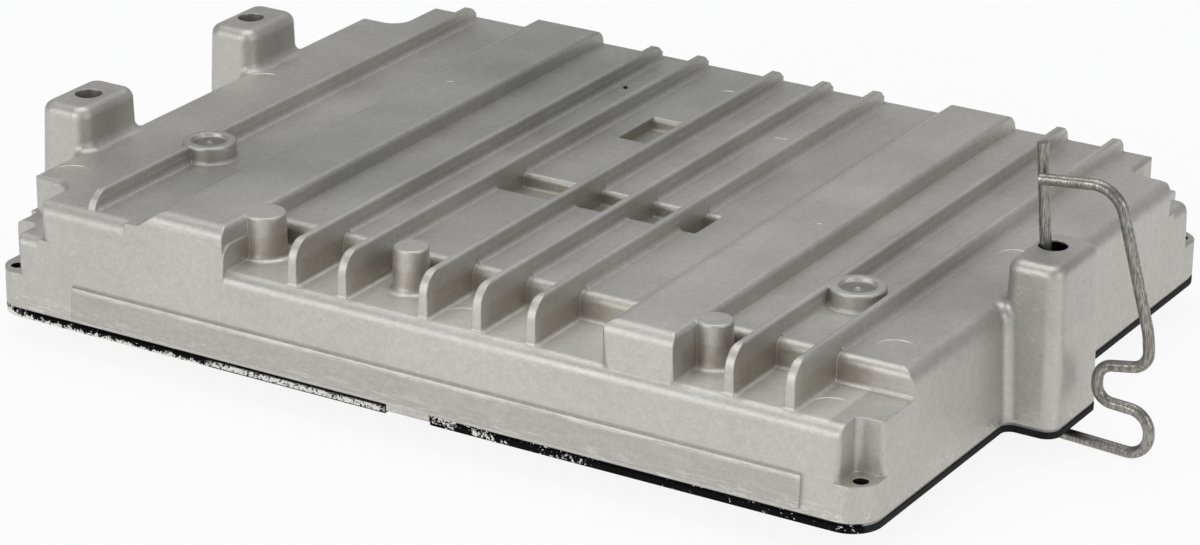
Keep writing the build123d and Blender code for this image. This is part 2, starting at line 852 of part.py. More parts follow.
def clamp_screw_z():
    """Height of the clamp and its screws, at the middle of the bodies."""
    return up(TRANSISTOR_LOW_H + TRANSISTOR_BODY_H / 2)


def make_housing():
    """Complete casting."""
    body = shell_block()
    for side_x, side_y, size in HIGH_NOTCHES:
        body -= high_notch(side_x, side_y, size)
    for sx in (-1, 1):
        for sy in (-1, 1):
            body -= low_notch(sx, sy)
    for height in sorted({FRONT_LEFT_NOTCH[2], BACK_LEFT_NOTCH[2], BACK_RIGHT_NOTCH[2]}):
        body = fillet(floor_rims(body, height), FLOOR_EDGE_R)
    for side_x, side_y in ((-1, -1), (-1, 1), (1, -1), (1, 1)):
        body -= corner_lips(side_x, side_y, (LOW_NOTCH_L, LOW_NOTCH_W), LOW_LIP_R, up(LOW_NOTCH_H))
    for side_x, side_y, size in HIGH_NOTCHES:
        body -= corner_lips(side_x, side_y, size, HIGH_LIP_R, up(size[2]))
    for spec in TOWERS:
        body = with_tower(body, spec)
    body += rib_feet()
    for size in (GROOVE, POCKET):
        body -= hollow_cutter(*size)
    pad_l = HEADER_FLANGE_L + 2 * PAD_MARGIN
    pad = block(
        HEADER_X - pad_l / 2,
        HEADER_X + pad_l / 2,
        BACK_Y - FLANGE_W,
        BACK_Y,
        SEAM_Z,
        up(PAD_TOP_H),
    )
    body += [rib_blades(), raised_blocks(), front_panel(), pad]
    body += [column(x, FRONT_Y + y, r) for x, y, r in COLUMNS]
    for x, y in BOSSES:
        body += boss(x, FRONT_Y + y)
        body -= dish(x, FRONT_Y + y)
    body -= cavity()
    body -= tower_holes(SEAM_Z, up(TOWER_H))
    thread_r = COVER_SCREW_R + THREAD_CLEARANCE
    for x, y in cover_screw_points():
        body -= rod(x, y, SEAM_Z, up(LOW_NOTCH_H), thread_r)
        body -= rod(x, y, up(LOW_NOTCH_H - COVER_HOLE_TOP_DEPTH), up(LOW_NOTCH_H), COVER_HOLE_TOP_R)
    thread_r = BOARD_SCREW_R + THREAD_CLEARANCE
    for x, y in POSTS:
        body -= rod(x, y, BOARD_TOP_Z, BOARD_TOP_Z + BOARD_SCREW_L, thread_r)
    opening_r = BAY_R + HEADER_WALL + HEADER_CLEARANCE
    body -= plate_y(
        BODY_L + 2 * HEADER_CLEARANCE,
        BODY_H + 2 * HEADER_CLEARANCE,
        opening_r,
        BACK_Y - 2 * FLANGE_W,
        BACK_Y,
    )
    for x, z in header_screw_points():
        body -= rod_y(x, z, BACK_Y - 2 * FLANGE_W, BACK_Y, thread_r)
    for x in clamp_screw_xs():
        body -= rod_y(x, clamp_screw_z(), WEB_FACE_Y - WEB_T, WEB_FACE_Y, thread_r)
    return body


def footprint(inset):
    """Plan of the cover or gasket, following the towers and clear of the tab."""
    plan = RectangleRounded(CASE_L, CASE_W, CASE_CORNER_R)
    for t in TOWERS:
        plan += tower_plan(t)
    plan = offset(plan, -inset, kind=Kind.INTERSECTION) if inset else plan
    plan -= Pos(TAB_X, FRONT_Y) * Rectangle(TAB_L + 2 * TAB_CLEARANCE, 2 * (TAB_T + TAB_CLEARANCE))
    for t in TOWERS:
        plan -= Pos(t[3], FRONT_Y + t[4]) * Circle(TOWER_HOLE_R)
    return plan


def make_gasket():
    """Flat gasket on the flange."""
    plan = footprint(GASKET_INSET) - stepped_plan(FLANGE_W)
    for x, y in cover_screw_points():
        plan -= Pos(x, y) * Circle(COVER_SCREW_R + HOLE_CLEARANCE)
    return prism(plan, COVER_T, SEAM_Z)


def bead(y, grow, z0):
    """One pressed bead with round ends and sloping sides."""
    return prism(Pos(0, y) * SlotOverall(BEAD_L + 2 * grow, BEAD_W + 2 * grow), z0, z0 + BEAD_H, BEAD_TAPER)


def make_cover():
    """Flat base cover with countersunk holes and pressed beads."""
    plate = prism(footprint(0), 0, COVER_T)
    for y in BEAD_YS:
        plate += bead(y, COVER_T / 2, COVER_T)
        plate -= bead(y, 0, 0)
    for x, y in cover_screw_points():
        plate -= rod(x, y, 0, COVER_T, COVER_SCREW_R + HOLE_CLEARANCE)
        plate -= Pos(x, y, 0) * turned(
            [
                (0, 0, 0),
                (COVER_HEAD_R, 0, 0),
                (COVER_SCREW_R, COVER_HEAD_H, 0),
                (0, COVER_HEAD_H, 0),
            ]
        )
    return plate


def countersunk_screw():
    """Countersunk screw pointing up, head face at Z = 0."""
    body = turned(
        [
            (0, 0, 0),
            (COVER_HEAD_R, 0, 0),
            (COVER_SCREW_R, COVER_HEAD_H, 0),
            (COVER_SCREW_R, COVER_SCREW_L - THREAD_END, 0),
            (COVER_SCREW_R - THREAD_END, COVER_SCREW_L, 0),
            (0, COVER_SCREW_L, 0),
        ]
    )
    drive = prism(RegularPolygon(DRIVE_R, 6), 0, DRIVE_DEPTH)
    return body - drive


def pan_screw(length):
    """Pan-head screw pointing up, seat of the head at Z = 0."""
    body = turned(
        [
            (0, -PAN_HEAD_H, 0),
            (PAN_HEAD_R - PAN_EDGE, -PAN_HEAD_H, 0),
            (PAN_HEAD_R, PAN_EDGE - PAN_HEAD_H, 0),
            (PAN_HEAD_R, 0, 0),
            (BOARD_SCREW_R, 0, 0),
            (BOARD_SCREW_R, length - THREAD_END, 0),
            (BOARD_SCREW_R - THREAD_END, length, 0),
            (0, length, 0),
        ]
    )
    drive = prism(RegularPolygon(DRIVE_R, 6), -PAN_HEAD_H, DRIVE_DEPTH - PAN_HEAD_H)
    return body - drive


def transistor_y():
    """Tab face and lead centre of the transistors."""
    tab = WEB_FACE_Y + STRIP_T
    return tab, tab + TRANSISTOR_T / 2


def pin_rows():
    """Height of each pin row and how far its tail stands behind the wall."""
    inner = BACK_Y - FLANGE_W - HEADER_INSIDE
    return [
        (HEADER_Z - PIN_ROW_PITCH / 2, inner - PIN_ROW_STEP),
        (HEADER_Z + PIN_ROW_PITCH / 2, inner - 2 * PIN_ROW_STEP),
    ]


def bay_centres():
    """Centre x of the signal and power bays."""
    left = HEADER_X - BODY_L / 2 + HEADER_WALL
    signal = left + SIGNAL_BAY_L / 2
    power = left + SIGNAL_BAY_L + HEADER_WALL + POWER_BAY_L / 2
    return signal, power


def signal_xs():
    return row(SIGNAL_COLUMNS, SIGNAL_PITCH, bay_centres()[0])


def power_xs():
    return row(POWER_COLUMNS, POWER_PITCH, bay_centres()[1])


def header_planes():
    """Inner end, bay floor, flange back, flange front and mouth of the header."""
    inner = BACK_Y - FLANGE_W - HEADER_INSIDE
    floor = inner + HEADER_WEB_T
    seat = BACK_Y + SEAL_T
    front = seat + HEADER_FLANGE_T
    return inner, floor, seat, front, BACK_Y + HEADER_REACH


def make_board():
    """Circuit board with its screw holes, lead holes and header recess."""
    plan = stepped_plan(FLANGE_W + BOARD_GAP)
    inner = header_planes()[0]
    recess = BODY_L + 2 * BOARD_GAP
    plan -= Pos(HEADER_X, BACK_Y) * Rectangle(recess, 2 * (BACK_Y - inner + BOARD_GAP / 2))
    for x, y in POSTS:
        plan -= Pos(x, y) * Circle(BOARD_SCREW_R + HOLE_CLEARANCE)
    holes = []
    hole = SIGNAL_PIN + 2 * PIN_CLEARANCE
    for z, y in pin_rows():
        holes += [Pos(x, y) * Rectangle(hole, hole) for x in signal_xs()]
    hole = POWER_PIN + 2 * PIN_CLEARANCE
    for z, y in pin_rows():
        holes += [Pos(x, y) * Rectangle(hole, hole) for x in power_xs()]
    for x in row(TRANSISTOR_COUNT, TRANSISTOR_PITCH, TRANSISTOR_X):
        for dx in row(3, LEAD_PITCH):
            holes.append(
                Pos(x + dx, transistor_y()[1])
                * Rectangle(LEAD_W + 2 * PIN_CLEARANCE, LEAD_T + 2 * PIN_CLEARANCE)
            )
    plan -= holes
    return prism(plan, BOARD_TOP_Z - BOARD_T, BOARD_TOP_Z)


def make_header():
    """Connector header: flange, two bays and the pin carrier."""
    inner, floor, seat, front, mouth = header_planes()
    outer_r = BAY_R + HEADER_WALL
    body = plate_y(BODY_L, BODY_H, outer_r, inner, mouth)
    body += plate_y(HEADER_FLANGE_L, HEADER_FLANGE_W, outer_r, seat, front)
    signal, power = bay_centres()
    body -= plate_y(SIGNAL_BAY_L, BAY_H, BAY_R, floor, mouth, signal)
    body -= plate_y(POWER_BAY_L, BAY_H, BAY_R, floor, mouth, power)
    for x, z in header_screw_points():
        body -= rod_y(x, z, seat, front, BOARD_SCREW_R + HOLE_CLEARANCE)
    for xs, size in ((signal_xs(), SIGNAL_PIN), (power_xs(), POWER_PIN)):
        hole = size + 2 * PIN_CLEARANCE
        for z, y in pin_rows():
            body -= [block(x - hole / 2, x + hole / 2, inner, floor, z - hole / 2, z + hole / 2) for x in xs]
    return body


def make_seal():
    """Seal between the header's flange and the housing's pad."""
    outer_r = BAY_R + HEADER_WALL
    seal = plate_y(HEADER_FLANGE_L, HEADER_FLANGE_W, outer_r, BACK_Y, BACK_Y + SEAL_T)
    seal -= plate_y(
        BODY_L + 2 * HEADER_CLEARANCE,
        BODY_H + 2 * HEADER_CLEARANCE,
        outer_r + HEADER_CLEARANCE,
        BACK_Y,
        BACK_Y + SEAL_T,
    )
    for x, z in header_screw_points():
        seal -= rod_y(x, z, BACK_Y, BACK_Y + SEAL_T, BOARD_SCREW_R + HOLE_CLEARANCE)
    return seal


def make_pins(xs, size):
    """Right-angled pins from the bay down through the board."""
    floor = header_planes()[1]
    tip = floor + PIN_IN_BAY
    low = BOARD_TOP_Z - BOARD_T - PIN_BELOW_BOARD
    pins = []
    for z, y in pin_rows():
        outline = [
            (tip, z - size / 2, 0),
            (tip, z + size / 2, 0),
            (y - size / 2, z + size / 2, size / 2),
            (y - size / 2, low, 0),
            (y + size / 2, low, 0),
            (y + size / 2, z - size / 2, 0),
        ]
        pins += [along_x(outline, x - size / 2, x + size / 2) for x in xs]
    return Compound(children=pins)


def transistor():
    """Upright power transistor at x = 0, with its tab on the strip."""
    tab, lead = transistor_y()
    low = up(TRANSISTOR_LOW_H)
    half = TRANSISTOR_L / 2
    body = along_x(
        [
            (tab + TRANSISTOR_TAB_T / 2, low, 0),
            (tab + TRANSISTOR_T, low, 0.3),
            (tab + TRANSISTOR_T, low + TRANSISTOR_BODY_H, 0.3),
            (tab + TRANSISTOR_TAB_T / 2, low + TRANSISTOR_BODY_H, 0),
        ],
        -half,
        half,
    )
    plate = block(-half, half, tab, tab + TRANSISTOR_TAB_T, low, low + TRANSISTOR_TAB_H)
    hole_z = low + (TRANSISTOR_BODY_H + TRANSISTOR_TAB_H) / 2
    plate -= rod_y(0, hole_z, tab, tab + TRANSISTOR_TAB_T, TRANSISTOR_TAB_T)
    foot = BOARD_TOP_Z - BOARD_T - PIN_BELOW_BOARD
    leads = [
        block(x - LEAD_W / 2, x + LEAD_W / 2, lead - LEAD_T / 2, lead + LEAD_T / 2, foot, low)
        for x in row(3, LEAD_PITCH)
    ]
    return body + plate + leads


def make_transistors():
    device = transistor()
    xs = row(TRANSISTOR_COUNT, TRANSISTOR_PITCH, TRANSISTOR_X)
    return Compound(children=[Pos(x, 0, 0) * device for x in xs])


def strip_span():
    """Ends of the isolation strip and clamp in x."""
    half = (TRANSISTOR_COUNT - 1) * TRANSISTOR_PITCH / 2 + TRANSISTOR_L / 2 + STRIP_END
    return TRANSISTOR_X - half, TRANSISTOR_X + half


def make_strip():
    """Isolation strip between the web and the transistor tabs."""
    x0, x1 = strip_span()
    low = up(TRANSISTOR_LOW_H)
    strip = block(x0, x1, WEB_FACE_Y, WEB_FACE_Y + STRIP_T, low, low + TRANSISTOR_TAB_H)
    for x in clamp_screw_xs():
        strip -= rod_y(x, clamp_screw_z(), WEB_FACE_Y, WEB_FACE_Y + STRIP_T, BOARD_SCREW_R + HOLE_CLEARANCE)
    return strip


def clamp_y():
    """Face of the clamp that presses on the transistor bodies."""
    return WEB_FACE_Y + STRIP_T + TRANSISTOR_T


def make_clamp():
    """Spring clamp along the transistor bodies."""
    x0, x1 = strip_span()
    y = clamp_y()
    z = clamp_screw_z()
    clamp = along_x(
        [
            (y, z - CLAMP_W / 2, 0),
            (y + CLAMP_T, z - CLAMP_W / 2, 0),
            (y + CLAMP_T, z + CLAMP_W / 2 - CLAMP_T, 0),
            (y + 2.5 * CLAMP_T, z + CLAMP_W / 2, 0),
            (y + 2 * CLAMP_T, z + CLAMP_W / 2 + CLAMP_T, 0),
            (y, z + CLAMP_W / 2 - CLAMP_T / 2, 0),
        ],
        x0,
        x1,
    )
    for x in clamp_screw_xs():
        clamp -= rod_y(x, z, y, y + 3 * CLAMP_T, BOARD_SCREW_R + HOLE_CLEARANCE)
    return clamp


def chip(length, width, thickness, leads_x, leads_y):
    """Moulded chip standing on its leads, centred at the origin on Z = 0."""
    plan = Rectangle(length, width)
    case = prism(plan, CHIP_LIFT, CHIP_LIFT + thickness / 2, CHIP_TAPER)
    case += extrude(Pos(0, 0, CHIP_LIFT + thickness) * plan, amount=-thickness / 2, taper=CHIP_TAPER)
    rise = CHIP_LIFT + thickness / 2
    legs = []
    for x in row(leads_x, CHIP_LEAD_PITCH):
        for side in (-1, 1):
            legs.append(chip_leg(x, side * width / 2, CHIP_LEAD_W, 2 * CHIP_LEAD_T, rise))
    for y in row(leads_y, CHIP_LEAD_PITCH):
        for side in (-1, 1):
            legs.append(chip_leg(side * length / 2, y, 2 * CHIP_LEAD_T, CHIP_LEAD_W, rise))
    return case + legs


def chip_leg(x, y, size_x, size_y, rise):
    """One lead half outside the moulding."""
    return block(x - size_x / 2, x + size_x / 2, y - size_y / 2, y + size_y / 2, 0, rise)


def on_board(x, y):
    """Location on the board's upper face."""
    return Pos(x, y, BOARD_TOP_Z)


def make_micro():
    return on_board(*MICRO_AT) * chip(MICRO_L, MICRO_L, MICRO_T, MICRO_LEADS, MICRO_LEADS)


def make_memory():
    return on_board(*MEMORY_AT) * chip(MEMORY_L, MEMORY_W, MEMORY_T, 9, 7)


def make_drivers():
    device = chip(DRIVER_L, DRIVER_W, DRIVER_T, 9, 0)
    xs = row(DRIVER_COUNT, DRIVER_PITCH, DRIVER_X)
    return Compound(children=[on_board(x, DRIVER_Y) * device for x in xs])


def make_regulator():
    """Flat power package: moulding over a tab, with feet to the board."""
    half = TRANSISTOR_L / 2
    tab = block(-half, half, -TRANSISTOR_BODY_H / 2, TRANSISTOR_BODY_H / 2 + 1.5, 0, TRANSISTOR_TAB_T)
    body = prism(Rectangle(TRANSISTOR_L, TRANSISTOR_BODY_H), TRANSISTOR_TAB_T / 2, TRANSISTOR_T, 4)
    feet = [
        block(x - LEAD_W / 2, x + LEAD_W / 2, -TRANSISTOR_BODY_H / 2 - 3, -TRANSISTOR_BODY_H / 2 + 1, 0, 1)
        for x in (-LEAD_PITCH, LEAD_PITCH)
    ]
    return on_board(*REGULATOR_AT) * (tab + body + feet)


def make_crystal():
    """Pressed metal can on a flanged base."""
    can = prism(RectangleRounded(CRYSTAL_L - 1, CRYSTAL_W - 1, CRYSTAL_W / 2 - 0.6), 0, CRYSTAL_T)
    base = prism(RectangleRounded(CRYSTAL_L, CRYSTAL_W, CRYSTAL_W / 2 - 0.1), 0, 0.6)
    return on_board(*CRYSTAL_AT) * (can + base)


def make_capacitors():
    """Upright can capacitors with a crimp groove near the foot."""
    r = CAPACITOR_R
    can = turned(
        [
            (0, 0, 0),
            (r, 0, 0),
            (r, CAPACITOR_GROOVE_H - CAPACITOR_GROOVE, 0),
            (r - CAPACITOR_GROOVE, CAPACITOR_GROOVE_H, 0),
            (r, CAPACITOR_GROOVE_H + CAPACITOR_GROOVE, 0),
            (r, CAPACITOR_H - CAPACITOR_EDGE, 0),
            (r - CAPACITOR_EDGE, CAPACITOR_H, 0),
            (0, CAPACITOR_H, 0),
        ]
    )
    ys = row(CAPACITOR_COUNT, CAPACITOR_PITCH, CAPACITOR_Y)
    return Compound(children=[on_board(CAPACITOR_X, y) * can for y in ys])


def make_film():
    """Row of boxed film capacitors."""
    box = prism(RectangleRounded(FILM_L, FILM_W, 0.6), 0, FILM_H)
    xs = row(FILM_COUNT, FILM_PITCH, FILM_X)
    return Compound(children=[on_board(x, FILM_Y) * box for x in xs])


def make_choke():
    """Ring core wound with flat wire, lying on the board."""
    inner = CHOKE_R - CHOKE_CORE / 2
    outer = CHOKE_R + CHOKE_CORE / 2
    core = turned([(inner, 0, 0), (outer, 0, 0), (outer, CHOKE_CORE, 0), (inner, CHOKE_CORE, 0)])
    loop = CHOKE_CORE + 2 * CHOKE_WIRE
    turn = Pos(CHOKE_R, 0, CHOKE_CORE / 2) * Box(loop, CHOKE_WIRE, loop)
    turns = [Rot(0, 0, i * 360 / CHOKE_TURNS) * turn for i in range(CHOKE_TURNS)]
    return on_board(*CHOKE_AT) * Pos(0, 0, CHOKE_WIRE) * (core + turns)


def make_diodes():
    """Surface-mounted suppressors with folded end tabs."""
    body = prism(Rectangle(7.0, 5.9), 0.2, 2.4, 4)
    tabs = [block(s * 3.9 - 0.5, s * 3.9 + 0.5, -1.5, 1.5, 0, 1.2) for s in (-1, 1)]
    device = body + tabs
    ys = row(DIODE_COUNT, DIODE_PITCH, DIODE_AT[1])
    return Compound(children=[on_board(DIODE_AT[0], y) * device for y in ys])


def make_resistors():
    """Flat sense resistors beside the power stage."""
    body = block(-3.2, 3.2, -1.6, 1.6, 0, 0.7)
    xs = row(RESISTOR_COUNT, RESISTOR_PITCH, DRIVER_X)
    return Compound(children=[on_board(x, RESISTOR_Y) * body for x in xs])


def make_clip():
    """Bent spring wire hanging in the right tower's hole."""
    hole_x = RIGHT_TOWER[3]
    hole_y = FRONT_Y + RIGHT_TOWER[4]
    points = [CLIP_START] + [point for point, r in CLIP_BENDS] + [CLIP_END]
    path = FilletPolyline(
        *[(hole_x + x, hole_y + y, up(z)) for x, y, z in points],
        radius=[r for point, r in CLIP_BENDS],
    )
    wire = sweep(Plane(path @ 0, z_dir=path % 0) * Circle(WIRE_R), path=path)
    return wire


def screws_up(points, z, screw):
    """Vertical screws at plan positions."""
    return Compound(children=[Pos(x, y, z) * screw for x, y in points])


def screws_in(points, y, screw, turn):
    """Horizontal screws along Y at (x, z) positions."""
    return Compound(children=[Pos(x, y, z) * Rot(turn, 0, 0) * screw for x, z in points])


NODES = {
    "housing": make_housing(),
    "cover_gasket": make_gasket(),
    "base_cover": make_cover(),
    "cover_screws": screws_up(cover_screw_points(), 0, countersunk_screw()),
    "retaining_clip": make_clip(),
    "circuit_board": make_board(),
    "board_screws": screws_up(POSTS, BOARD_TOP_Z - BOARD_T, pan_screw(BOARD_SCREW_L)),
    "connector_header": make_header(),
    "connector_seal": make_seal(),
    "connector_screws": screws_in(header_screw_points(), header_planes()[3], pan_screw(WALL_SCREW_L), 90),
    "signal_pins": make_pins(signal_xs(), SIGNAL_PIN),
    "power_pins": make_pins(power_xs(), POWER_PIN),
    "power_transistors": make_transistors(),
    "isolation_strip": make_strip(),
    "transistor_clamp": make_clamp(),
    "clamp_screws": screws_in(
        [(x, clamp_screw_z()) for x in clamp_screw_xs()], clamp_y() + CLAMP_T, pan_screw(CLAMP_SCREW_L), 90
    ),
    "microcontroller": make_micro(),
    "memory_chip": make_memory(),
    "driver_chips": make_drivers(),
    "voltage_regulator": make_regulator(),
    "crystal": make_crystal(),
    "filter_capacitors": make_capacitors(),
    "film_capacitors": make_film(),
    "supply_choke": make_choke(),
    "suppressor_diodes": make_diodes(),
    "sense_resistors": make_resistors(),
}

for name, shape in NODES.items():
    export_step(shape, f"parts/{name}.step")
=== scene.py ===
import math

import bpy
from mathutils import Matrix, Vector


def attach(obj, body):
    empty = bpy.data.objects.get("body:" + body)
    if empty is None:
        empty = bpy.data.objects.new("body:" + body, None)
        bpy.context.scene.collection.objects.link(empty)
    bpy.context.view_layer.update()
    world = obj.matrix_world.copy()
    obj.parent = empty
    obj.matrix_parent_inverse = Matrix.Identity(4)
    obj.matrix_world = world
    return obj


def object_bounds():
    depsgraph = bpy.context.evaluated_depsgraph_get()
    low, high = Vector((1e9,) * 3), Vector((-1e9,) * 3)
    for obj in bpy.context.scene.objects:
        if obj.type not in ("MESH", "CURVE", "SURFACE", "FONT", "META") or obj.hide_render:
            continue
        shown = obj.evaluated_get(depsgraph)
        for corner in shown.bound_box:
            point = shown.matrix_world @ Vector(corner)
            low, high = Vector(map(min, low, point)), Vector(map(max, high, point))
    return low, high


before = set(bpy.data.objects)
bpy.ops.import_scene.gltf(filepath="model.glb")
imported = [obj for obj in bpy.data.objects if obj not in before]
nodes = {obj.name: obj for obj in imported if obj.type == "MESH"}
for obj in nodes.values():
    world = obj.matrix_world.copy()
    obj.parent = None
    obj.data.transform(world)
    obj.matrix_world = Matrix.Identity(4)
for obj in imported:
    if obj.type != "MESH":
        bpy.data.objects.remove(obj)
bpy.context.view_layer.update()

# Lengths are in metres and angles in degrees. Heights are above the bench.
LEDGE = 0.0266
DECK = 0.0336
RAISED = 0.0384
TOWER_RIM = 0.0452
DISH_RIM = 0.0377
NOTCH_RIM = 0.0121

# Camera, at the photograph's place
CAMERA_PLACE = (0.543428, -0.909883, 0.437691)
CAMERA_TURN = (1.18387894, -0.01038768, 0.54424672)
CAMERA_LENS_MM = 126.471
SENSOR_WIDTH_MM = 36.0

# Ring marks left by the ejector pins, laid only as the bright arc on the far side
# where light catches them, a painted highlight: x, y, height, radius and the way the arc opens
PIN_MARK_HIGHLIGHTS = [
    (-0.1233, -0.0747, DECK, 0.0050, 118),
    (-0.1230, 0.0139, DECK, 0.0050, 112),
    (0.0104, -0.0878, LEDGE, 0.0050, 118),
    (-0.0055, 0.0752, DECK, 0.0024, 96),
    (0.1154, -0.0877, LEDGE, 0.0054, 112),
    (0.1196, -0.0624, DECK, 0.0054, 112),
    (0.1176, 0.0077, DECK, 0.0046, 128),
]

# Light handling scratches: x, y, height, length and direction
SCRATCHES = [
    (0.0248, 0.0516, DECK, 0.0040, 5),
    (0.0300, 0.0480, DECK, 0.0022, 40),
    (0.0150, 0.0450, DECK, 0.0016, -20),
    (0.0680, 0.0180, RAISED, 0.0030, 75),
    (0.0700, -0.0100, RAISED, 0.0014, 10),
    (0.1010, -0.0270, DECK, 0.0018, 60),
    (-0.0700, 0.0300, RAISED, 0.0020, 35),
    (-0.1050, 0.0350, DECK, 0.0016, -30),
    (-0.0290, -0.0400, DECK, 0.0020, 15),
]

# Bright fine lines where the ramps of the raised blocks level out, a painted
# highlight along that crease: x, y, height, length and direction
RAMP_HIGHLIGHT_LINES = [
    (0.0580, -0.0010, 0.03813, 0.174, 90),
    (-0.0780, -0.0030, 0.03816, 0.174, 90),
]

# Places on the casting darkened by painted shade: x, y, height, radius and strength
SHADE_PLACES = [
    (-0.048, 0.062, DECK, 0.090, 1.0),
    (-0.068, -0.036, DECK, 0.050, 1.0),
    (-0.098, -0.072, DECK, 0.035, 0.5),
    (0.006, -0.030, DECK, 0.050, 0.35),
    (0.122, -0.020, DECK, 0.040, 0.5),
    (-0.1310, -0.0500, 0.0395, 0.011, 0.9),
    (-0.1310, 0.0280, 0.0395, 0.011, 0.9),
]
SHADE_CORE = 0.25
SHADE_STEP = 0.002

# Open holes and dishes, with painted shade inside: x, y, radius, height of the rim and how dark the painted
# shade is inside
HOLES = [
    (-0.1369, -0.0488, 0.0039, TOWER_RIM, 0.1),
    (-0.1374, 0.0282, 0.0039, TOWER_RIM, 0.1),
    (0.1353, -0.0077, 0.0039, TOWER_RIM, 0.97),
    (-0.0994, -0.0445, 0.0046, DISH_RIM, 0.45),
    (0.0981, -0.0415, 0.0046, DISH_RIM, 0.45),
    (-0.1274, -0.0936, 0.0022, NOTCH_RIM, 0.95),
    (0.1274, -0.0936, 0.0022, NOTCH_RIM, 0.9),
    (-0.1274, 0.0936, 0.0022, NOTCH_RIM, 0.95),
    (0.1274, 0.0936, 0.0022, NOTCH_RIM, 0.95),
]

# Raised panel low on the front wall: its ends, its worn band, its top edge,
# and where the front wall and the panel's own face begin in y
PANEL_ENDS = (-0.1053, 0.1140)
PANEL_BAND = (0.0040, 0.0122)
PANEL_TOP = 0.0126
PANEL_FACE = (-0.0975, -0.0970)
FRONT_WALL = (-0.0965, -0.0960)

# Rough trimmed flash along the seam fades out between these heights
FLASH = (0.0042, 0.0075)

# The bays between the ribs, with painted light on their floors and painted shade on their step faces
BAY_X = (-0.0720, 0.1190)
BAY_Y = (-0.0955, 0.0900)
BAY_FRONT = (-0.0930, -0.0900)

# Small dark spot on the deck, longer one way than the other
SPOT_PLACE = (-0.03268, 0.06415, DECK)
SPOT_TURN = -59
SPOT_STRETCH = 2
SPOT_EDGE = (0.0005, 0.0009)

# Front strip of cover and gasket: where it begins in y, its chipped left
# stretch, its bared band and its right stretch
STRIP_FACE = (-0.0962, -0.0956)
CHIPPED_LEFT = (-0.14, -0.060)
CHIPPED_CORNER = (-0.131, -0.116)
CHIPPED_LOW = (0.0, 0.0019)
BARED_X = (-0.0605, -0.0065)
BARED_Z = (0.00025, 0.0017)
CHIPPED_RIGHT = (0.006, 0.075)
RIGHT_START = (0.004, 0.006)

# Colours of the casting and the other metals
CAST_DARK = (0.525, 0.508, 0.478)
CAST_PALE = (0.585, 0.567, 0.536)
CAST_STAIN = (0.47, 0.45, 0.41)
CAST_SPARKLE = (0.78, 0.76, 0.72)
# Painted highlight on the rounded edges of the casting
CAST_EDGE_HIGHLIGHT = (0.84, 0.82, 0.77)
CAST_FLASH = (0.80, 0.78, 0.74)
CAST_SPOT = (0.02, 0.02, 0.02)
PANEL_WORN = (0.36, 0.34, 0.31)
# Painted shade in the crease over the front panel and a painted highlight on its shoulder
PANEL_CREASE_SHADE = (0.22, 0.20, 0.17)
PANEL_SHOULDER_HIGHLIGHT = (0.80, 0.78, 0.73)
# Painted light on the bay floors and painted shade on their step faces
BAY_FLOOR_LIGHT = (0.82, 0.80, 0.75)
BAY_SIDE_SHADE = (0.80, 0.77, 0.71)
# Painted shade on the deck and the towers' sides
SHADE_TINT = (0.76, 0.775, 0.775)
# Painted shade inside holes and dishes
HOLE_SHADE = (0.004, 0.004, 0.004)
GRAIN_DARK = (0.93, 0.93, 0.925)
GRAIN_PALE = (1.06, 1.06, 1.06)
# Bright for the scratches, and a painted highlight on the pin marks and ramp lines
MARK_BRIGHT = (0.86, 0.85, 0.82)
MARK_DULL = (0.62, 0.60, 0.57)
STEEL = (0.50, 0.48, 0.45)
STEEL_WORN = (0.36, 0.30, 0.22)
STEEL_EDGE = (0.66, 0.64, 0.6)
# Streak colours of the wire, partly a painted reflection along it
WIRE_DARK = (0.17, 0.163, 0.148)
WIRE_PALE = (0.42, 0.407, 0.38)
WIRE_RUST = (0.22, 0.19, 0.155)
TINNED = (0.7, 0.6, 0.38)
TINNED_WORN = (0.5, 0.4, 0.22)

# Colours of paint, board and plastics
STRIP_BLACK = (0.006, 0.006, 0.006)
CHIP_WHITE = (0.82, 0.81, 0.78)
COVER_BLACK = (0.022, 0.022, 0.023)
GASKET_GREY = (0.40, 0.39, 0.37)
MASK_GREEN = (0.015, 0.11, 0.04)
MASK_RUNS = (0.04, 0.24, 0.09)
MASK_DULL = (0.03, 0.16, 0.07)
MOULDING_BLACK = (0.02, 0.02, 0.022)
SEAL_RED = (0.25, 0.06, 0.03)
SILICONE_GREY = (0.4, 0.4, 0.38)
BOX_RED = (0.45, 0.08, 0.04)
SLEEVE_BLUE = (0.03, 0.06, 0.2)
ENAMEL_BROWN = (0.4, 0.14, 0.05)

# Surroundings: world, lamps as place, target, size and power, and floor
SKY = (0.95, 0.98, 1.0, 1)
SKY_STRENGTH = 0.4
LAMPS = {
    "front softbox": ((-0.45, -1.3, 0.55), (0, 0, 0.02), (1.0, 0.7), 6.8),
    "right softbox": ((1.2, -0.25, 0.45), (0.05, 0, 0.02), (0.8, 0.7), 3.0),
    "top softbox": ((-0.1, 0.1, 1.3), (0, 0, 0), (1.2, 1.0), 8.0),
}
FLOOR_REACH = 6.0
FLOOR_COLOUR = (0.8, 0.8, 0.8, 1)
FLOOR_GLOW_SHARE = 0.9


def place_camera():
    data = bpy.data.cameras.new("camera")
    data.lens = CAMERA_LENS_MM
    data.sensor_width = SENSOR_WIDTH_MM
    data.clip_start = 0.05
    data.clip_end = 20.0
    camera = bpy.data.objects.new("camera", data)
    camera.location = CAMERA_PLACE
    camera.rotation_euler = CAMERA_TURN
    bpy.context.scene.collection.objects.link(camera)
    bpy.context.scene.camera = camera


# Node helpers

def add(tree, kind, **settings):
    """New node, laid out in rows in the order of making."""
    row, column = divmod(len(tree.nodes), 10)
    made = tree.nodes.new(kind)
    made.location = (220 * column, -320 * row)
    for key, value in settings.items():
        setattr(made, key, value)
    return made


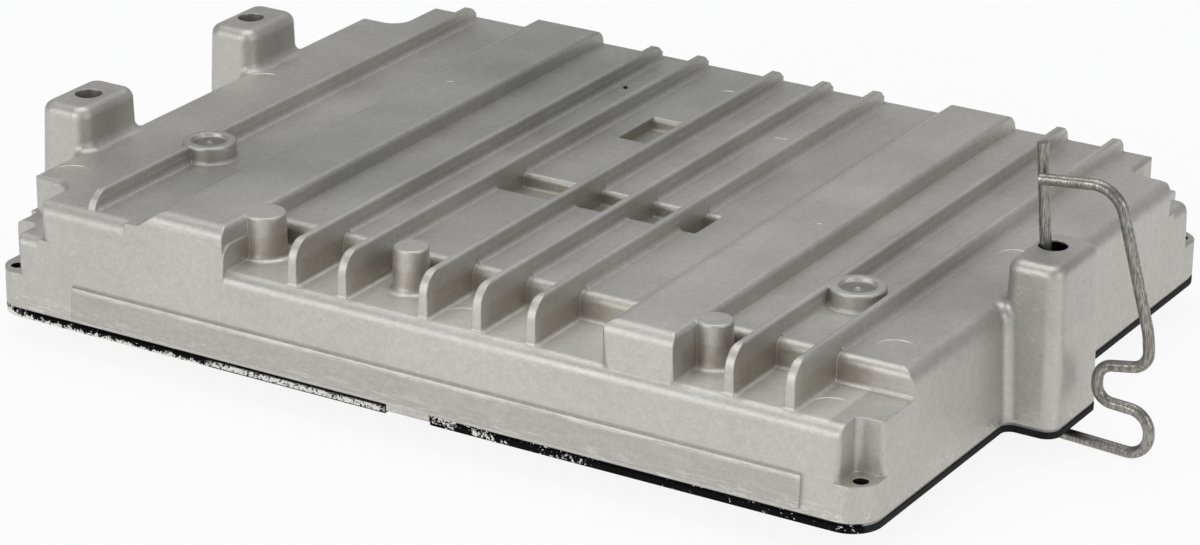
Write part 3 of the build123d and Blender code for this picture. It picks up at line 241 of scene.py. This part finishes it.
def feed(tree, value, socket):
    if value is None:
        return
    if hasattr(value, "links"):
        tree.links.new(value, socket)
    elif socket.type == "RGBA" and len(value) == 3:
        socket.default_value = (*value, 1)
    else:
        socket.default_value = value


def math_node(tree, operation, a, b=None, clamp=False):
    made = add(tree, "ShaderNodeMath", operation=operation, use_clamp=clamp)
    for socket, value in zip(made.inputs, (a, b)):
        feed(tree, value, socket)
    return made.outputs[0]


def plus(tree, a, b):
    return math_node(tree, "ADD", a, b)


def times(tree, *values):
    result = values[0]
    for value in values[1:]:
        result = math_node(tree, "MULTIPLY", result, value)
    return result


def blend_colour(tree, factor, a, b, mode="MIX"):
    made = add(tree, "ShaderNodeMix", data_type="RGBA", blend_type=mode)
    feed(tree, factor, made.inputs["Factor"])
    feed(tree, a, made.inputs[6])
    feed(tree, b, made.inputs[7])
    return made.outputs[2]


def spread(tree, value, low, high, to_low=0.0, to_high=1.0):
    """Range of a value, stretched to another range and clamped there."""
    made = add(tree, "ShaderNodeMapRange", clamp=True)
    feed(tree, value, made.inputs["Value"])
    made.inputs["From Min"].default_value = low
    made.inputs["From Max"].default_value = high
    made.inputs["To Min"].default_value = to_low
    made.inputs["To Max"].default_value = to_high
    return made.outputs["Result"]


def fall(tree, value, low, high, top=1.0):
    return spread(tree, value, low, high, top, 0.0)


def between(tree, value, low, high, soft):
    """One inside a range, falling off softly on both sides."""
    rise = spread(tree, value, low - soft, low + soft)
    return times(tree, rise, fall(tree, value, high - soft, high + soft))


def stretch(tree, vector, scale):
    made = add(tree, "ShaderNodeMapping")
    feed(tree, vector, made.inputs["Vector"])
    made.inputs["Scale"].default_value = scale
    return made.outputs[0]


def noise(tree, vector, scale, detail=2.0, roughness=0.5):
    made = add(tree, "ShaderNodeTexNoise")
    feed(tree, vector, made.inputs["Vector"])
    feed(tree, scale, made.inputs["Scale"])
    made.inputs["Detail"].default_value = detail
    made.inputs["Roughness"].default_value = roughness
    return made.outputs["Fac"]


def split_place(tree, vector):
    made = add(tree, "ShaderNodeSeparateXYZ")
    feed(tree, vector, made.inputs[0])
    return made.outputs


def vector_math(tree, operation, a, b=None):
    made = add(tree, "ShaderNodeVectorMath", operation=operation)
    feed(tree, a, made.inputs[0])
    feed(tree, b, made.inputs[1])
    return made.outputs["Value"]


def bump(tree, height, strength, distance, normal=None):
    made = add(tree, "ShaderNodeBump")
    made.inputs["Strength"].default_value = strength
    made.inputs["Distance"].default_value = distance
    feed(tree, height, made.inputs["Height"])
    feed(tree, normal, made.inputs["Normal"])
    return made.outputs["Normal"]


def new_group(name, inputs, outputs):
    tree = bpy.data.node_groups.new(name, "ShaderNodeTree")
    for label, kind, value in inputs:
        socket = tree.interface.new_socket(label, in_out="INPUT", socket_type=kind)
        if value is not None:
            socket.default_value = value
    for label, kind in outputs:
        tree.interface.new_socket(label, in_out="OUTPUT", socket_type=kind)
    return tree, add(tree, "NodeGroupInput").outputs, add(tree, "NodeGroupOutput").inputs


def use_group(tree, group, **values):
    """Node of a group; an input's name has an underscore for its space."""
    made = add(tree, "ShaderNodeGroup", node_tree=group)
    for label, value in values.items():
        feed(tree, value, made.inputs[label.replace("_", " ")])
    return made


# Shared surface effects

def cast_skin_group():
    """Sandy skin of a die casting: fine grain, broad flow clouds and sparkle."""
    tree, given, out = new_group(
        "cast skin",
        [
            ("Vector", "NodeSocketVector", None),
            ("Grain Scale", "NodeSocketFloat", 1200.0),
            ("Cloud Scale", "NodeSocketFloat", 30.0),
        ],
        [
            ("Height", "NodeSocketFloat"),
            ("Clouds", "NodeSocketFloat"),
            ("Grain", "NodeSocketColor"),
            ("Sparkle", "NodeSocketFloat"),
        ],
    )
    fine = noise(tree, given["Vector"], given["Grain Scale"], 3.0, 0.65)
    clouds = noise(tree, given["Vector"], given["Cloud Scale"])
    lumps = noise(tree, given["Vector"], 420.0)
    feed(tree, plus(tree, fine, times(tree, lumps, 0.8)), out["Height"])
    feed(tree, spread(tree, clouds, 0.3, 0.7), out["Clouds"])
    mixed = plus(tree, times(tree, fine, 0.6), times(tree, lumps, 0.4))
    feed(tree, blend_colour(tree, spread(tree, mixed, 0.36, 0.64), GRAIN_DARK, GRAIN_PALE), out["Grain"])
    feed(tree, spread(tree, fine, 0.58, 0.72), out["Sparkle"])
    return tree


def hole_group():
    """Painted shade inside an upright hole."""
    tree, given, out = new_group(
        "hole shade",
        [
            ("Vector", "NodeSocketVector", None),
            ("Centre", "NodeSocketVector", None),
            ("Radius", "NodeSocketFloat", 0.004),
            ("Top", "NodeSocketFloat", 0.045),
            ("Depth", "NodeSocketFloat", 0.9),
        ],
        [("Shade", "NodeSocketFloat")],
    )
    flat = stretch(tree, given["Vector"], (1, 1, 0))
    gap = vector_math(tree, "DISTANCE", flat, given["Centre"])
    inside = math_node(tree, "LESS_THAN", gap, given["Radius"])
    below = math_node(tree, "LESS_THAN", split_place(tree, given["Vector"])["Z"], given["Top"])
    feed(tree, times(tree, inside, below, given["Depth"]), out["Shade"])
    return tree


def soft_edge_group():
    """Rounded-edge normal, and a mask of the rounded edges, which carries the painted edge highlights on the
    casting.
    """
    tree, given, out = new_group(
        "soft edges",
        [("Radius", "NodeSocketFloat", 0.0006)],
        [("Normal", "NodeSocketVector"), ("Edge", "NodeSocketFloat")],
    )
    round_off = add(tree, "ShaderNodeBevel", samples=6)
    feed(tree, given["Radius"], round_off.inputs["Radius"])
    face = add(tree, "ShaderNodeNewGeometry").outputs["Normal"]
    feed(tree, round_off.outputs[0], out["Normal"])
    facing = vector_math(tree, "DOT_PRODUCT", round_off.outputs[0], face)
    feed(tree, fall(tree, facing, 0.75, 0.98), out["Edge"])
    return tree


def film_group():
    """Thin uneven film that dulls a surface."""
    tree, given, out = new_group(
        "dull film",
        [
            ("Vector", "NodeSocketVector", None),
            ("Scale", "NodeSocketFloat", 120.0),
            ("Amount", "NodeSocketFloat", 0.4),
        ],
        [("Mask", "NodeSocketFloat")],
    )
    cloud = noise(tree, given["Vector"], given["Scale"], 5.0, 0.65)
    feed(tree, times(tree, spread(tree, cloud, 0.4, 0.75), given["Amount"]), out["Mask"])
    return tree


def chipped_paint_group():
    """Chips in the black strip along the front, denser at its low edge and left corner."""
    tree, given, out = new_group(
        "chipped paint",
        [("Vector", "NodeSocketVector", None)],
        [("Front", "NodeSocketFloat"), ("Chips", "NodeSocketFloat")],
    )
    vector = given["Vector"]
    place = split_place(tree, vector)
    coarse = noise(tree, vector, 620.0, 3.0, 0.6)
    fine = noise(tree, vector, 1500.0, 3.0, 0.7)
    patches = spread(tree, noise(tree, vector, 70.0), 0.36, 0.56)
    left = between(tree, place["X"], *CHIPPED_LEFT, 0.002)
    low = fall(tree, place["Z"], *CHIPPED_LOW)
    corner = fall(tree, place["X"], *CHIPPED_CORNER, 0.17)
    right = spread(tree, place["X"], *CHIPPED_RIGHT, 0.75, 0.22)
    right = times(tree, right, patches, spread(tree, place["X"], *RIGHT_START))
    level = plus(tree, times(tree, left, low, 0.22), times(tree, right, 0.23))
    level = plus(tree, level, corner)
    ragged = plus(tree, times(tree, coarse, 0.4), times(tree, fine, 0.6))
    broken = math_node(tree, "GREATER_THAN", plus(tree, ragged, level), 0.655)
    bared = between(tree, place["X"], *BARED_X, 0.0012)
    bared = times(tree, bared, between(tree, place["Z"], *BARED_Z, 0.0001))
    mottled = math_node(tree, "GREATER_THAN", plus(tree, fine, 0.05), 0.5)
    chips = math_node(tree, "MAXIMUM", broken, times(tree, bared, mottled), clamp=True)
    front = fall(tree, place["Y"], *STRIP_FACE)
    feed(tree, front, out["Front"])
    feed(tree, times(tree, chips, front), out["Chips"])
    return tree


# Materials

def new_material(name):
    material = bpy.data.materials.new(name)
    material.use_nodes = True
    tree = material.node_tree
    tree.nodes.clear()
    shader = add(tree, "ShaderNodeBsdfPrincipled")
    tree.links.new(shader.outputs[0], add(tree, "ShaderNodeOutputMaterial").inputs[0])
    return material, tree, shader.inputs, add(tree, "ShaderNodeTexCoord").outputs["Object"]


def mark_spot(tree, base, vector):
    """Small dark spot on the deck."""
    around = add(tree, "ShaderNodeMapping", vector_type="TEXTURE")
    feed(tree, vector, around.inputs["Vector"])
    around.inputs["Location"].default_value = SPOT_PLACE
    around.inputs["Rotation"].default_value = (0, 0, math.radians(SPOT_TURN))
    around.inputs["Scale"].default_value = (SPOT_STRETCH, 1, 1)
    reach = vector_math(tree, "LENGTH", around.outputs[0])
    return blend_colour(tree, fall(tree, reach, *SPOT_EDGE), base, CAST_SPOT)


def wear_panel(tree, base, place, streaks):
    """Worn face of the front panel."""
    worn = between(tree, place["X"], *PANEL_ENDS, 0.0004)
    worn = times(tree, worn, between(tree, place["Z"], *PANEL_BAND, 0.0004))
    worn = times(tree, worn, fall(tree, place["Y"], *PANEL_FACE))
    worn = times(tree, worn, spread(tree, streaks, 0.35, 0.65, 1.0, 0.55))
    return blend_colour(tree, times(tree, worn, 0.5), base, PANEL_WORN)


def paint_panel_edge_light(tree, base, place, streaks):
    """Painted shade in the crease over the front panel and a painted highlight on its shoulder."""
    outside = times(tree, between(tree, place["X"], *PANEL_ENDS, 0.0004), fall(tree, place["Y"], *FRONT_WALL))
    crease_shade = between(tree, place["Z"], PANEL_TOP - 0.0001, PANEL_TOP + 0.0005, 0.0002)
    crease_shade = times(tree, outside, crease_shade, 0.5)
    shoulder_highlight = between(tree, place["Z"], PANEL_TOP - 0.0013, PANEL_TOP - 0.0003, 0.0002)
    shoulder_highlight = times(tree, outside, shoulder_highlight, spread(tree, streaks, 0.3, 0.6), 0.5)
    base = blend_colour(tree, crease_shade, base, PANEL_CREASE_SHADE)
    return blend_colour(tree, shoulder_highlight, base, PANEL_SHOULDER_HIGHLIGHT)


def shade_bays(tree, base, place):
    """Painted light on the floors and painted brown shade on the step faces in the bays between the ribs."""
    bays = times(tree, between(tree, place["X"], *BAY_X, 0.0005), between(tree, place["Y"], *BAY_Y, 0.0004))
    # Painted light on the bay floors
    floor = times(tree, bays, between(tree, place["Z"], LEDGE - 0.0005, LEDGE + 0.0005, 0.0002))
    base = blend_colour(tree, times(tree, floor, 0.6), base, BAY_FLOOR_LIGHT)
    # Painted shade on the step faces
    shaded_sides = times(tree, bays, between(tree, place["Z"], LEDGE + 0.0008, DECK - 0.0006, 0.0005))
    shaded_sides = times(tree, shaded_sides, spread(tree, place["Y"], *BAY_FRONT))
    return blend_colour(tree, times(tree, shaded_sides, 0.5), base, BAY_SIDE_SHADE, "MULTIPLY")


def paint_shade_on_top(tree, base, vector, place):
    # Painted shade over the listed places, above the ledge
    above = spread(tree, place["Z"], LEDGE, LEDGE + SHADE_STEP)
    for x, y, z, radius, strength in SHADE_PLACES:
        reach = vector_math(tree, "DISTANCE", vector, (x, y, z))
        near = fall(tree, reach, radius * SHADE_CORE, radius, strength)
        base = blend_colour(tree, times(tree, near, above), base, SHADE_TINT, "MULTIPLY")
    return base


def paint_hole_shade(tree, base, vector, group):
    for x, y, radius, rim, depth in HOLES:
        hole = use_group(tree, group, Vector=vector, Centre=(x, y, 0), Radius=radius, Top=rim, Depth=depth)
        base = blend_colour(tree, hole.outputs["Shade"], base, HOLE_SHADE)
    return base


def cast_aluminium(effects):
    """Bare casting: flow clouds, sandy grain, painted highlights on the rounded edges, trimmed flash at the
    seam, with painted light and shade in places.
    """
    material, tree, shader, vector = new_material("die-cast aluminium")
    skin = use_group(tree, effects["skin"], Vector=vector).outputs
    edges = use_group(tree, effects["edges"], Radius=0.0006).outputs
    stain = use_group(tree, effects["film"], Vector=vector, Scale=45.0, Amount=0.35).outputs
    place = split_place(tree, vector)
    streaks = noise(tree, stretch(tree, vector, (0.25, 1.0, 1.6)), 520.0, 4.0, 0.7)
    flash = times(tree, fall(tree, place["Z"], *FLASH), spread(tree, streaks, 0.52, 0.62))
    # Painted highlight: the rounded edges are lightened, broken into glints by the sparkle
    edge_glints = plus(tree, times(tree, skin["Sparkle"], 0.85), 0.15)
    base = blend_colour(tree, skin["Clouds"], CAST_DARK, CAST_PALE)
    base = blend_colour(tree, stain["Mask"], base, CAST_STAIN)
    base = blend_colour(tree, times(tree, skin["Sparkle"], 0.13), base, CAST_SPARKLE)
    base = blend_colour(tree, times(tree, edges["Edge"], edge_glints), base, CAST_EDGE_HIGHLIGHT)
    base = blend_colour(tree, times(tree, flash, 0.45), base, CAST_FLASH)
    base = mark_spot(tree, base, vector)
    base = wear_panel(tree, base, place, streaks)
    base = paint_panel_edge_light(tree, base, place, streaks)
    base = shade_bays(tree, base, place)
    base = paint_shade_on_top(tree, base, vector, place)
    base = blend_colour(tree, 1.0, base, skin["Grain"], "MULTIPLY")
    feed(tree, paint_hole_shade(tree, base, vector, effects["hole"]), shader["Base Color"])
    shader["Metallic"].default_value = 0.92
    feed(tree, spread(tree, skin["Clouds"], 0.0, 1.0, 0.46, 0.56), shader["Roughness"])
    rough = plus(tree, times(tree, edges["Edge"], 0.8), 0.4)
    height = plus(tree, times(tree, skin["Height"], rough), times(tree, flash, 0.5))
    feed(tree, bump(tree, height, 1.0, 0.0002, edges["Normal"]), shader["Normal"])
    return material


def scratch_and_highlight_aluminium(effects):
    """Bright proud lines: bare metal in the scratches, and a painted highlight on the pin marks and ramp
    lines.
    """
    material, tree, shader, vector = new_material("scratched aluminium and painted highlight")
    film = use_group(tree, effects["film"], Vector=vector, Scale=300.0, Amount=0.7).outputs["Mask"]
    feed(tree, blend_colour(tree, film, MARK_BRIGHT, MARK_DULL), shader["Base Color"])
    shader["Metallic"].default_value = 0.9
    feed(tree, spread(tree, film, 0.0, 1.0, 0.38, 0.55), shader["Roughness"])
    return material


def plated_steel(effects, name="plated steel", colour=STEEL, worn=STEEL_WORN):
    material, tree, shader, vector = new_material(name)
    edges = use_group(tree, effects["edges"], Radius=0.0003).outputs
    film = use_group(tree, effects["film"], Vector=vector, Scale=260.0, Amount=0.6).outputs["Mask"]
    base = blend_colour(tree, film, colour, worn)
    feed(tree, blend_colour(tree, edges["Edge"], base, STEEL_EDGE), shader["Base Color"])
    shader["Metallic"].default_value = 0.9
    feed(tree, spread(tree, film, 0.0, 0.6, 0.34, 0.58), shader["Roughness"])
    grain = noise(tree, vector, 1800.0, 2.0, 0.6)
    feed(tree, bump(tree, grain, 0.2, 0.00008, edges["Normal"]), shader["Normal"])
    return material


def drawn_wire(effects):
    """Dull spring wire with lengthwise streaks: real drawing marks, with a contrast that is partly a painted
    reflection.
    """
    material, tree, shader, vector = new_material("drawn spring wire")
    streaks = noise(tree, stretch(tree, vector, (1.0, 1.0, 0.1)), 3000.0)
    rust = use_group(tree, effects["film"], Vector=vector, Scale=220.0, Amount=0.7).outputs["Mask"]
    base = blend_colour(tree, spread(tree, streaks, 0.38, 0.62), WIRE_DARK, WIRE_PALE)
    feed(tree, blend_colour(tree, rust, base, WIRE_RUST), shader["Base Color"])
    shader["Metallic"].default_value = 0.9
    feed(tree, spread(tree, streaks, 0.35, 0.65, 0.45, 0.28), shader["Roughness"])
    feed(tree, bump(tree, streaks, 0.3, 0.00005), shader["Normal"])
    return material


def paler(colour, gain, lift):
    return tuple(min(1.0, part * gain + lift) for part in colour)


def moulded_plastic(effects, name, colour, rough=0.5):
    material, tree, shader, vector = new_material(name)
    edges = use_group(tree, effects["edges"], Radius=0.0003).outputs
    film = use_group(tree, effects["film"], Vector=vector, Scale=90.0, Amount=0.25).outputs["Mask"]
    feed(tree, blend_colour(tree, film, colour, paler(colour, 1.6, 0.03)), shader["Base Color"])
    feed(tree, spread(tree, film, 0.0, 0.3, rough, rough + 0.12), shader["Roughness"])
    grain = noise(tree, vector, 1400.0)
    feed(tree, bump(tree, grain, 0.15, 0.00006, edges["Normal"]), shader["Normal"])
    return material


def painted(effects, name, colour):
    """Surface that turns to a chipped black along the front."""
    material, tree, shader, vector = new_material(name)
    edges = use_group(tree, effects["edges"], Radius=0.0003).outputs
    film = use_group(tree, effects["film"], Vector=vector, Scale=140.0, Amount=0.35).outputs["Mask"]
    chipped = use_group(tree, effects["chips"], Vector=vector).outputs
    base = blend_colour(tree, film, colour, paler(colour, 1.5, 0.02))
    base = blend_colour(tree, chipped["Front"], base, STRIP_BLACK)
    feed(tree, blend_colour(tree, chipped["Chips"], base, CHIP_WHITE), shader["Base Color"])
    feed(tree, times(tree, chipped["Chips"], 0.2), shader["Metallic"])
    feed(tree, spread(tree, film, 0.0, 0.4, 0.5, 0.7), shader["Roughness"])
    shader["Specular IOR Level"].default_value = 0.03
    grain = noise(tree, vector, 900.0, 3.0, 0.6)
    height = math_node(tree, "SUBTRACT", grain, times(tree, chipped["Chips"], 0.6))
    feed(tree, bump(tree, height, 0.25, 0.0001, edges["Normal"]), shader["Normal"])
    return material


def solder_mask(effects):
    """Green board with paler copper runs under the mask."""
    material, tree, shader, vector = new_material("green solder mask")
    film = use_group(tree, effects["film"], Vector=vector, Scale=60.0, Amount=0.3).outputs["Mask"]
    runs = add(tree, "ShaderNodeTexBrick", offset=0.5)
    feed(tree, vector, runs.inputs["Vector"])
    runs.inputs["Scale"].default_value = 160.0
    runs.inputs["Mortar Size"].default_value = 0.06
    base = blend_colour(tree, runs.outputs["Fac"], MASK_GREEN, MASK_RUNS)
    feed(tree, blend_colour(tree, film, base, MASK_DULL), shader["Base Color"])
    shader["Roughness"].default_value = 0.32
    feed(tree, bump(tree, runs.outputs["Fac"], 0.3, 0.00006), shader["Normal"])
    return material


def dress(effects):
    """Material of each CAD node; what isn't named here is black moulding."""
    steel = plated_steel(effects)
    black = moulded_plastic(effects, "black moulding", MOULDING_BLACK)
    looks = {
        "housing": cast_aluminium(effects),
        "cover_gasket": painted(effects, "grey gasket", GASKET_GREY),
        "base_cover": painted(effects, "black painted cover", COVER_BLACK),
        "retaining_clip": drawn_wire(effects),
        "circuit_board": solder_mask(effects),
        "connector_seal": moulded_plastic(effects, "rust red seal", SEAL_RED, 0.7),
        "signal_pins": plated_steel(effects, "tinned brass", TINNED, TINNED_WORN),
        "isolation_strip": moulded_plastic(effects, "grey silicone", SILICONE_GREY, 0.7),
        "film_capacitors": moulded_plastic(effects, "brick red box", BOX_RED, 0.35),
        "filter_capacitors": moulded_plastic(effects, "blue sleeve", SLEEVE_BLUE, 0.3),
        "supply_choke": moulded_plastic(effects, "enamelled wire", ENAMEL_BROWN, 0.3),
        "cover_screws": steel,
        "board_screws": steel,
        "connector_screws": steel,
        "clamp_screws": steel,
        "transistor_clamp": steel,
        "crystal": steel,
    }
    looks["power_pins"] = looks["signal_pins"]
    for name, piece in nodes.items():
        piece.data.materials.clear()
        piece.data.materials.append(looks.get(name, black))


# Marks on the casting, laid out by geometry nodes

def mark_path(tree, given, line):
    """Unit line, or unit arc centred on its own X axis."""
    if line:
        path = add(tree, "GeometryNodeCurvePrimitiveLine")
        path.inputs["Start"].default_value = (-0.5, 0, 0)
        path.inputs["End"].default_value = (0.5, 0, 0)
        return path.outputs["Curve"]
    path = add(tree, "GeometryNodeCurveArc")
    path.inputs["Radius"].default_value = 1.0
    feed(tree, given["Steps"], path.inputs["Resolution"])
    feed(tree, given["Arc Angle"], path.inputs["Sweep Angle"])
    feed(tree, times(tree, given["Arc Angle"], -0.5), path.inputs["Start Angle"])
    return path.outputs["Curve"]


def read_number(tree, name):
    made = add(tree, "GeometryNodeInputNamedAttribute", data_type="FLOAT")
    made.inputs["Name"].default_value = name
    return made.outputs["Attribute"]


def spread_paths(tree, given, line):
    """One path on each point, turned and sized by the point."""
    angle = add(tree, "ShaderNodeCombineXYZ")
    feed(tree, read_number(tree, "turn"), angle.inputs["Z"])
    spots = add(tree, "GeometryNodeInstanceOnPoints")
    feed(tree, given["Geometry"], spots.inputs["Points"])
    feed(tree, mark_path(tree, given, line), spots.inputs["Instance"])
    feed(tree, angle.outputs[0], spots.inputs["Rotation"])
    feed(tree, read_number(tree, "size"), spots.inputs["Scale"])
    real = add(tree, "GeometryNodeRealizeInstances")
    feed(tree, spots.outputs[0], real.inputs[0])
    return real.outputs[0]


def mark_tree(name, line):
    """Thin half-sunk bead along each path."""
    tree = bpy.data.node_groups.new(name, "GeometryNodeTree")
    for label, kind in (
        ("Geometry", "NodeSocketGeometry"),
        ("Bead Radius", "NodeSocketFloat"),
        ("Arc Angle", "NodeSocketFloat"),
        ("Steps", "NodeSocketInt"),
        ("Finish", "NodeSocketMaterial"),
    ):
        tree.interface.new_socket(label, in_out="INPUT", socket_type=kind)
    tree.interface.new_socket("Geometry", in_out="OUTPUT", socket_type="NodeSocketGeometry")
    given = add(tree, "NodeGroupInput").outputs
    ring = add(tree, "GeometryNodeCurvePrimitiveCircle")
    ring.inputs["Resolution"].default_value = 8
    feed(tree, given["Bead Radius"], ring.inputs["Radius"])
    bead = add(tree, "GeometryNodeCurveToMesh")
    feed(tree, spread_paths(tree, given, line), bead.inputs["Curve"])
    feed(tree, ring.outputs["Curve"], bead.inputs["Profile Curve"])
    bead.inputs["Fill Caps"].default_value = True
    whole = add(tree, "GeometryNodeRealizeInstances")
    feed(tree, bead.outputs[0], whole.inputs[0])
    finish = add(tree, "GeometryNodeSetMaterial")
    feed(tree, whole.outputs[0], finish.inputs["Geometry"])
    feed(tree, given["Finish"], finish.inputs["Material"])
    feed(tree, finish.outputs[0], add(tree, "NodeGroupOutput").inputs[0])
    return tree


def mark_points(name, marks):
    """Mesh of points that carry the size and turn of their marks."""
    mesh = bpy.data.meshes.new(name + " points")
    mesh.from_pydata([mark[:3] for mark in marks], [], [])
    sizes = mesh.attributes.new("size", "FLOAT", "POINT")
    turns = mesh.attributes.new("turn", "FLOAT", "POINT")
    for index, mark in enumerate(marks):
        sizes.data[index].value = mark[3]
        turns.data[index].value = math.radians(mark[4])
    return mesh


def lay_marks(name, tree, marks, values):
    """Piece with one mark on each (x, y, z, size, turn) of the list."""
    carrier = bpy.data.objects.new(name + " carrier", mark_points(name, marks))
    bpy.context.scene.collection.objects.link(carrier)
    modifier = carrier.modifiers.new("marks", "NODES")
    modifier.node_group = tree
    for item in tree.interface.items_tree:
        if item.in_out == "INPUT" and item.name in values:
            modifier[item.identifier] = values[item.name]
    graph = bpy.context.evaluated_depsgraph_get()
    mesh = bpy.data.meshes.new_from_object(carrier.evaluated_get(graph))
    carrier.modifiers.remove(modifier)
    bpy.data.objects.remove(carrier)
    mesh.name = name
    piece = bpy.data.objects.new(name, mesh)
    bpy.context.scene.collection.objects.link(piece)
    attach(piece, "root")


def mark_casting(effects):
    bright = scratch_and_highlight_aluminium(effects)
    arcs = mark_tree("pin mark highlight arcs", False)
    lines = mark_tree("fine lines", True)
    arc_values = {"Bead Radius": 0.00013, "Arc Angle": 2.3, "Steps": 24, "Finish": bright}
    lay_marks("ejector_mark_highlights", arcs, PIN_MARK_HIGHLIGHTS, arc_values)
    lay_marks("handling_scratches", lines, SCRATCHES, {"Bead Radius": 0.00008, "Finish": bright})
    lay_marks("ramp_highlight_lines", lines, RAMP_HIGHLIGHT_LINES, {"Bead Radius": 0.00006, "Finish": bright})


# Surroundings

def light_up():
    world = bpy.data.worlds.new("grey studio")
    bpy.context.scene.world = world
    world.use_nodes = True
    sky = world.node_tree.nodes["Background"]
    sky.inputs["Color"].default_value = SKY
    sky.inputs["Strength"].default_value = SKY_STRENGTH
    for name, (place, target, size, power) in LAMPS.items():
        data = bpy.data.lights.new(name, "AREA")
        data.shape = "RECTANGLE"
        data.size, data.size_y = size
        data.energy = power
        lamp = bpy.data.objects.new(name, data)
        lamp.location = place
        aim = Vector(target) - Vector(place)
        lamp.rotation_euler = aim.to_track_quat("-Z", "Y").to_euler()
        bpy.context.scene.collection.objects.link(lamp)


def pale_floor():
    """White to the camera, glossy and transmission rays, matte to the rest."""
    material = bpy.data.materials.new("pale floor")
    material.use_nodes = True
    tree = material.node_tree
    tree.nodes.clear()
    matte = add(tree, "ShaderNodeBsdfDiffuse")
    matte.inputs["Color"].default_value = FLOOR_COLOUR
    glow = add(tree, "ShaderNodeEmission")
    glow.inputs["Strength"].default_value = 1.0
    path = add(tree, "ShaderNodeLightPath").outputs
    seen = math_node(tree, "MAXIMUM", path["Is Camera Ray"], path["Is Transmission Ray"])
    seen = math_node(tree, "MAXIMUM", seen, path["Is Glossy Ray"])
    mix = add(tree, "ShaderNodeMixShader")
    feed(tree, times(tree, seen, FLOOR_GLOW_SHARE), mix.inputs[0])
    tree.links.new(matte.outputs[0], mix.inputs[1])
    tree.links.new(glow.outputs[0], mix.inputs[2])
    tree.links.new(mix.outputs[0], add(tree, "ShaderNodeOutputMaterial").inputs[0])
    return material


def lay_floor():
    """Floor under the lowest point, which keeps the object's shadow."""
    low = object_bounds()[0].z
    mesh = bpy.data.meshes.new("floor")
    corners = [(x * FLOOR_REACH, y * FLOOR_REACH, low) for x, y in ((-1, -1), (1, -1), (1, 1), (-1, 1))]
    mesh.from_pydata(corners, [], [(0, 1, 2, 3)])
    mesh.materials.append(pale_floor())
    floor = bpy.data.objects.new("floor", mesh)
    bpy.context.scene.collection.objects.link(floor)


effects = {
    "skin": cast_skin_group(),
    "edges": soft_edge_group(),
    "hole": hole_group(),
    "film": film_group(),
    "chips": chipped_paint_group(),
}
place_camera()
dress(effects)
mark_casting(effects)
light_up()
lay_floor()

bpy.context.scene.view_settings.view_transform = "Standard"
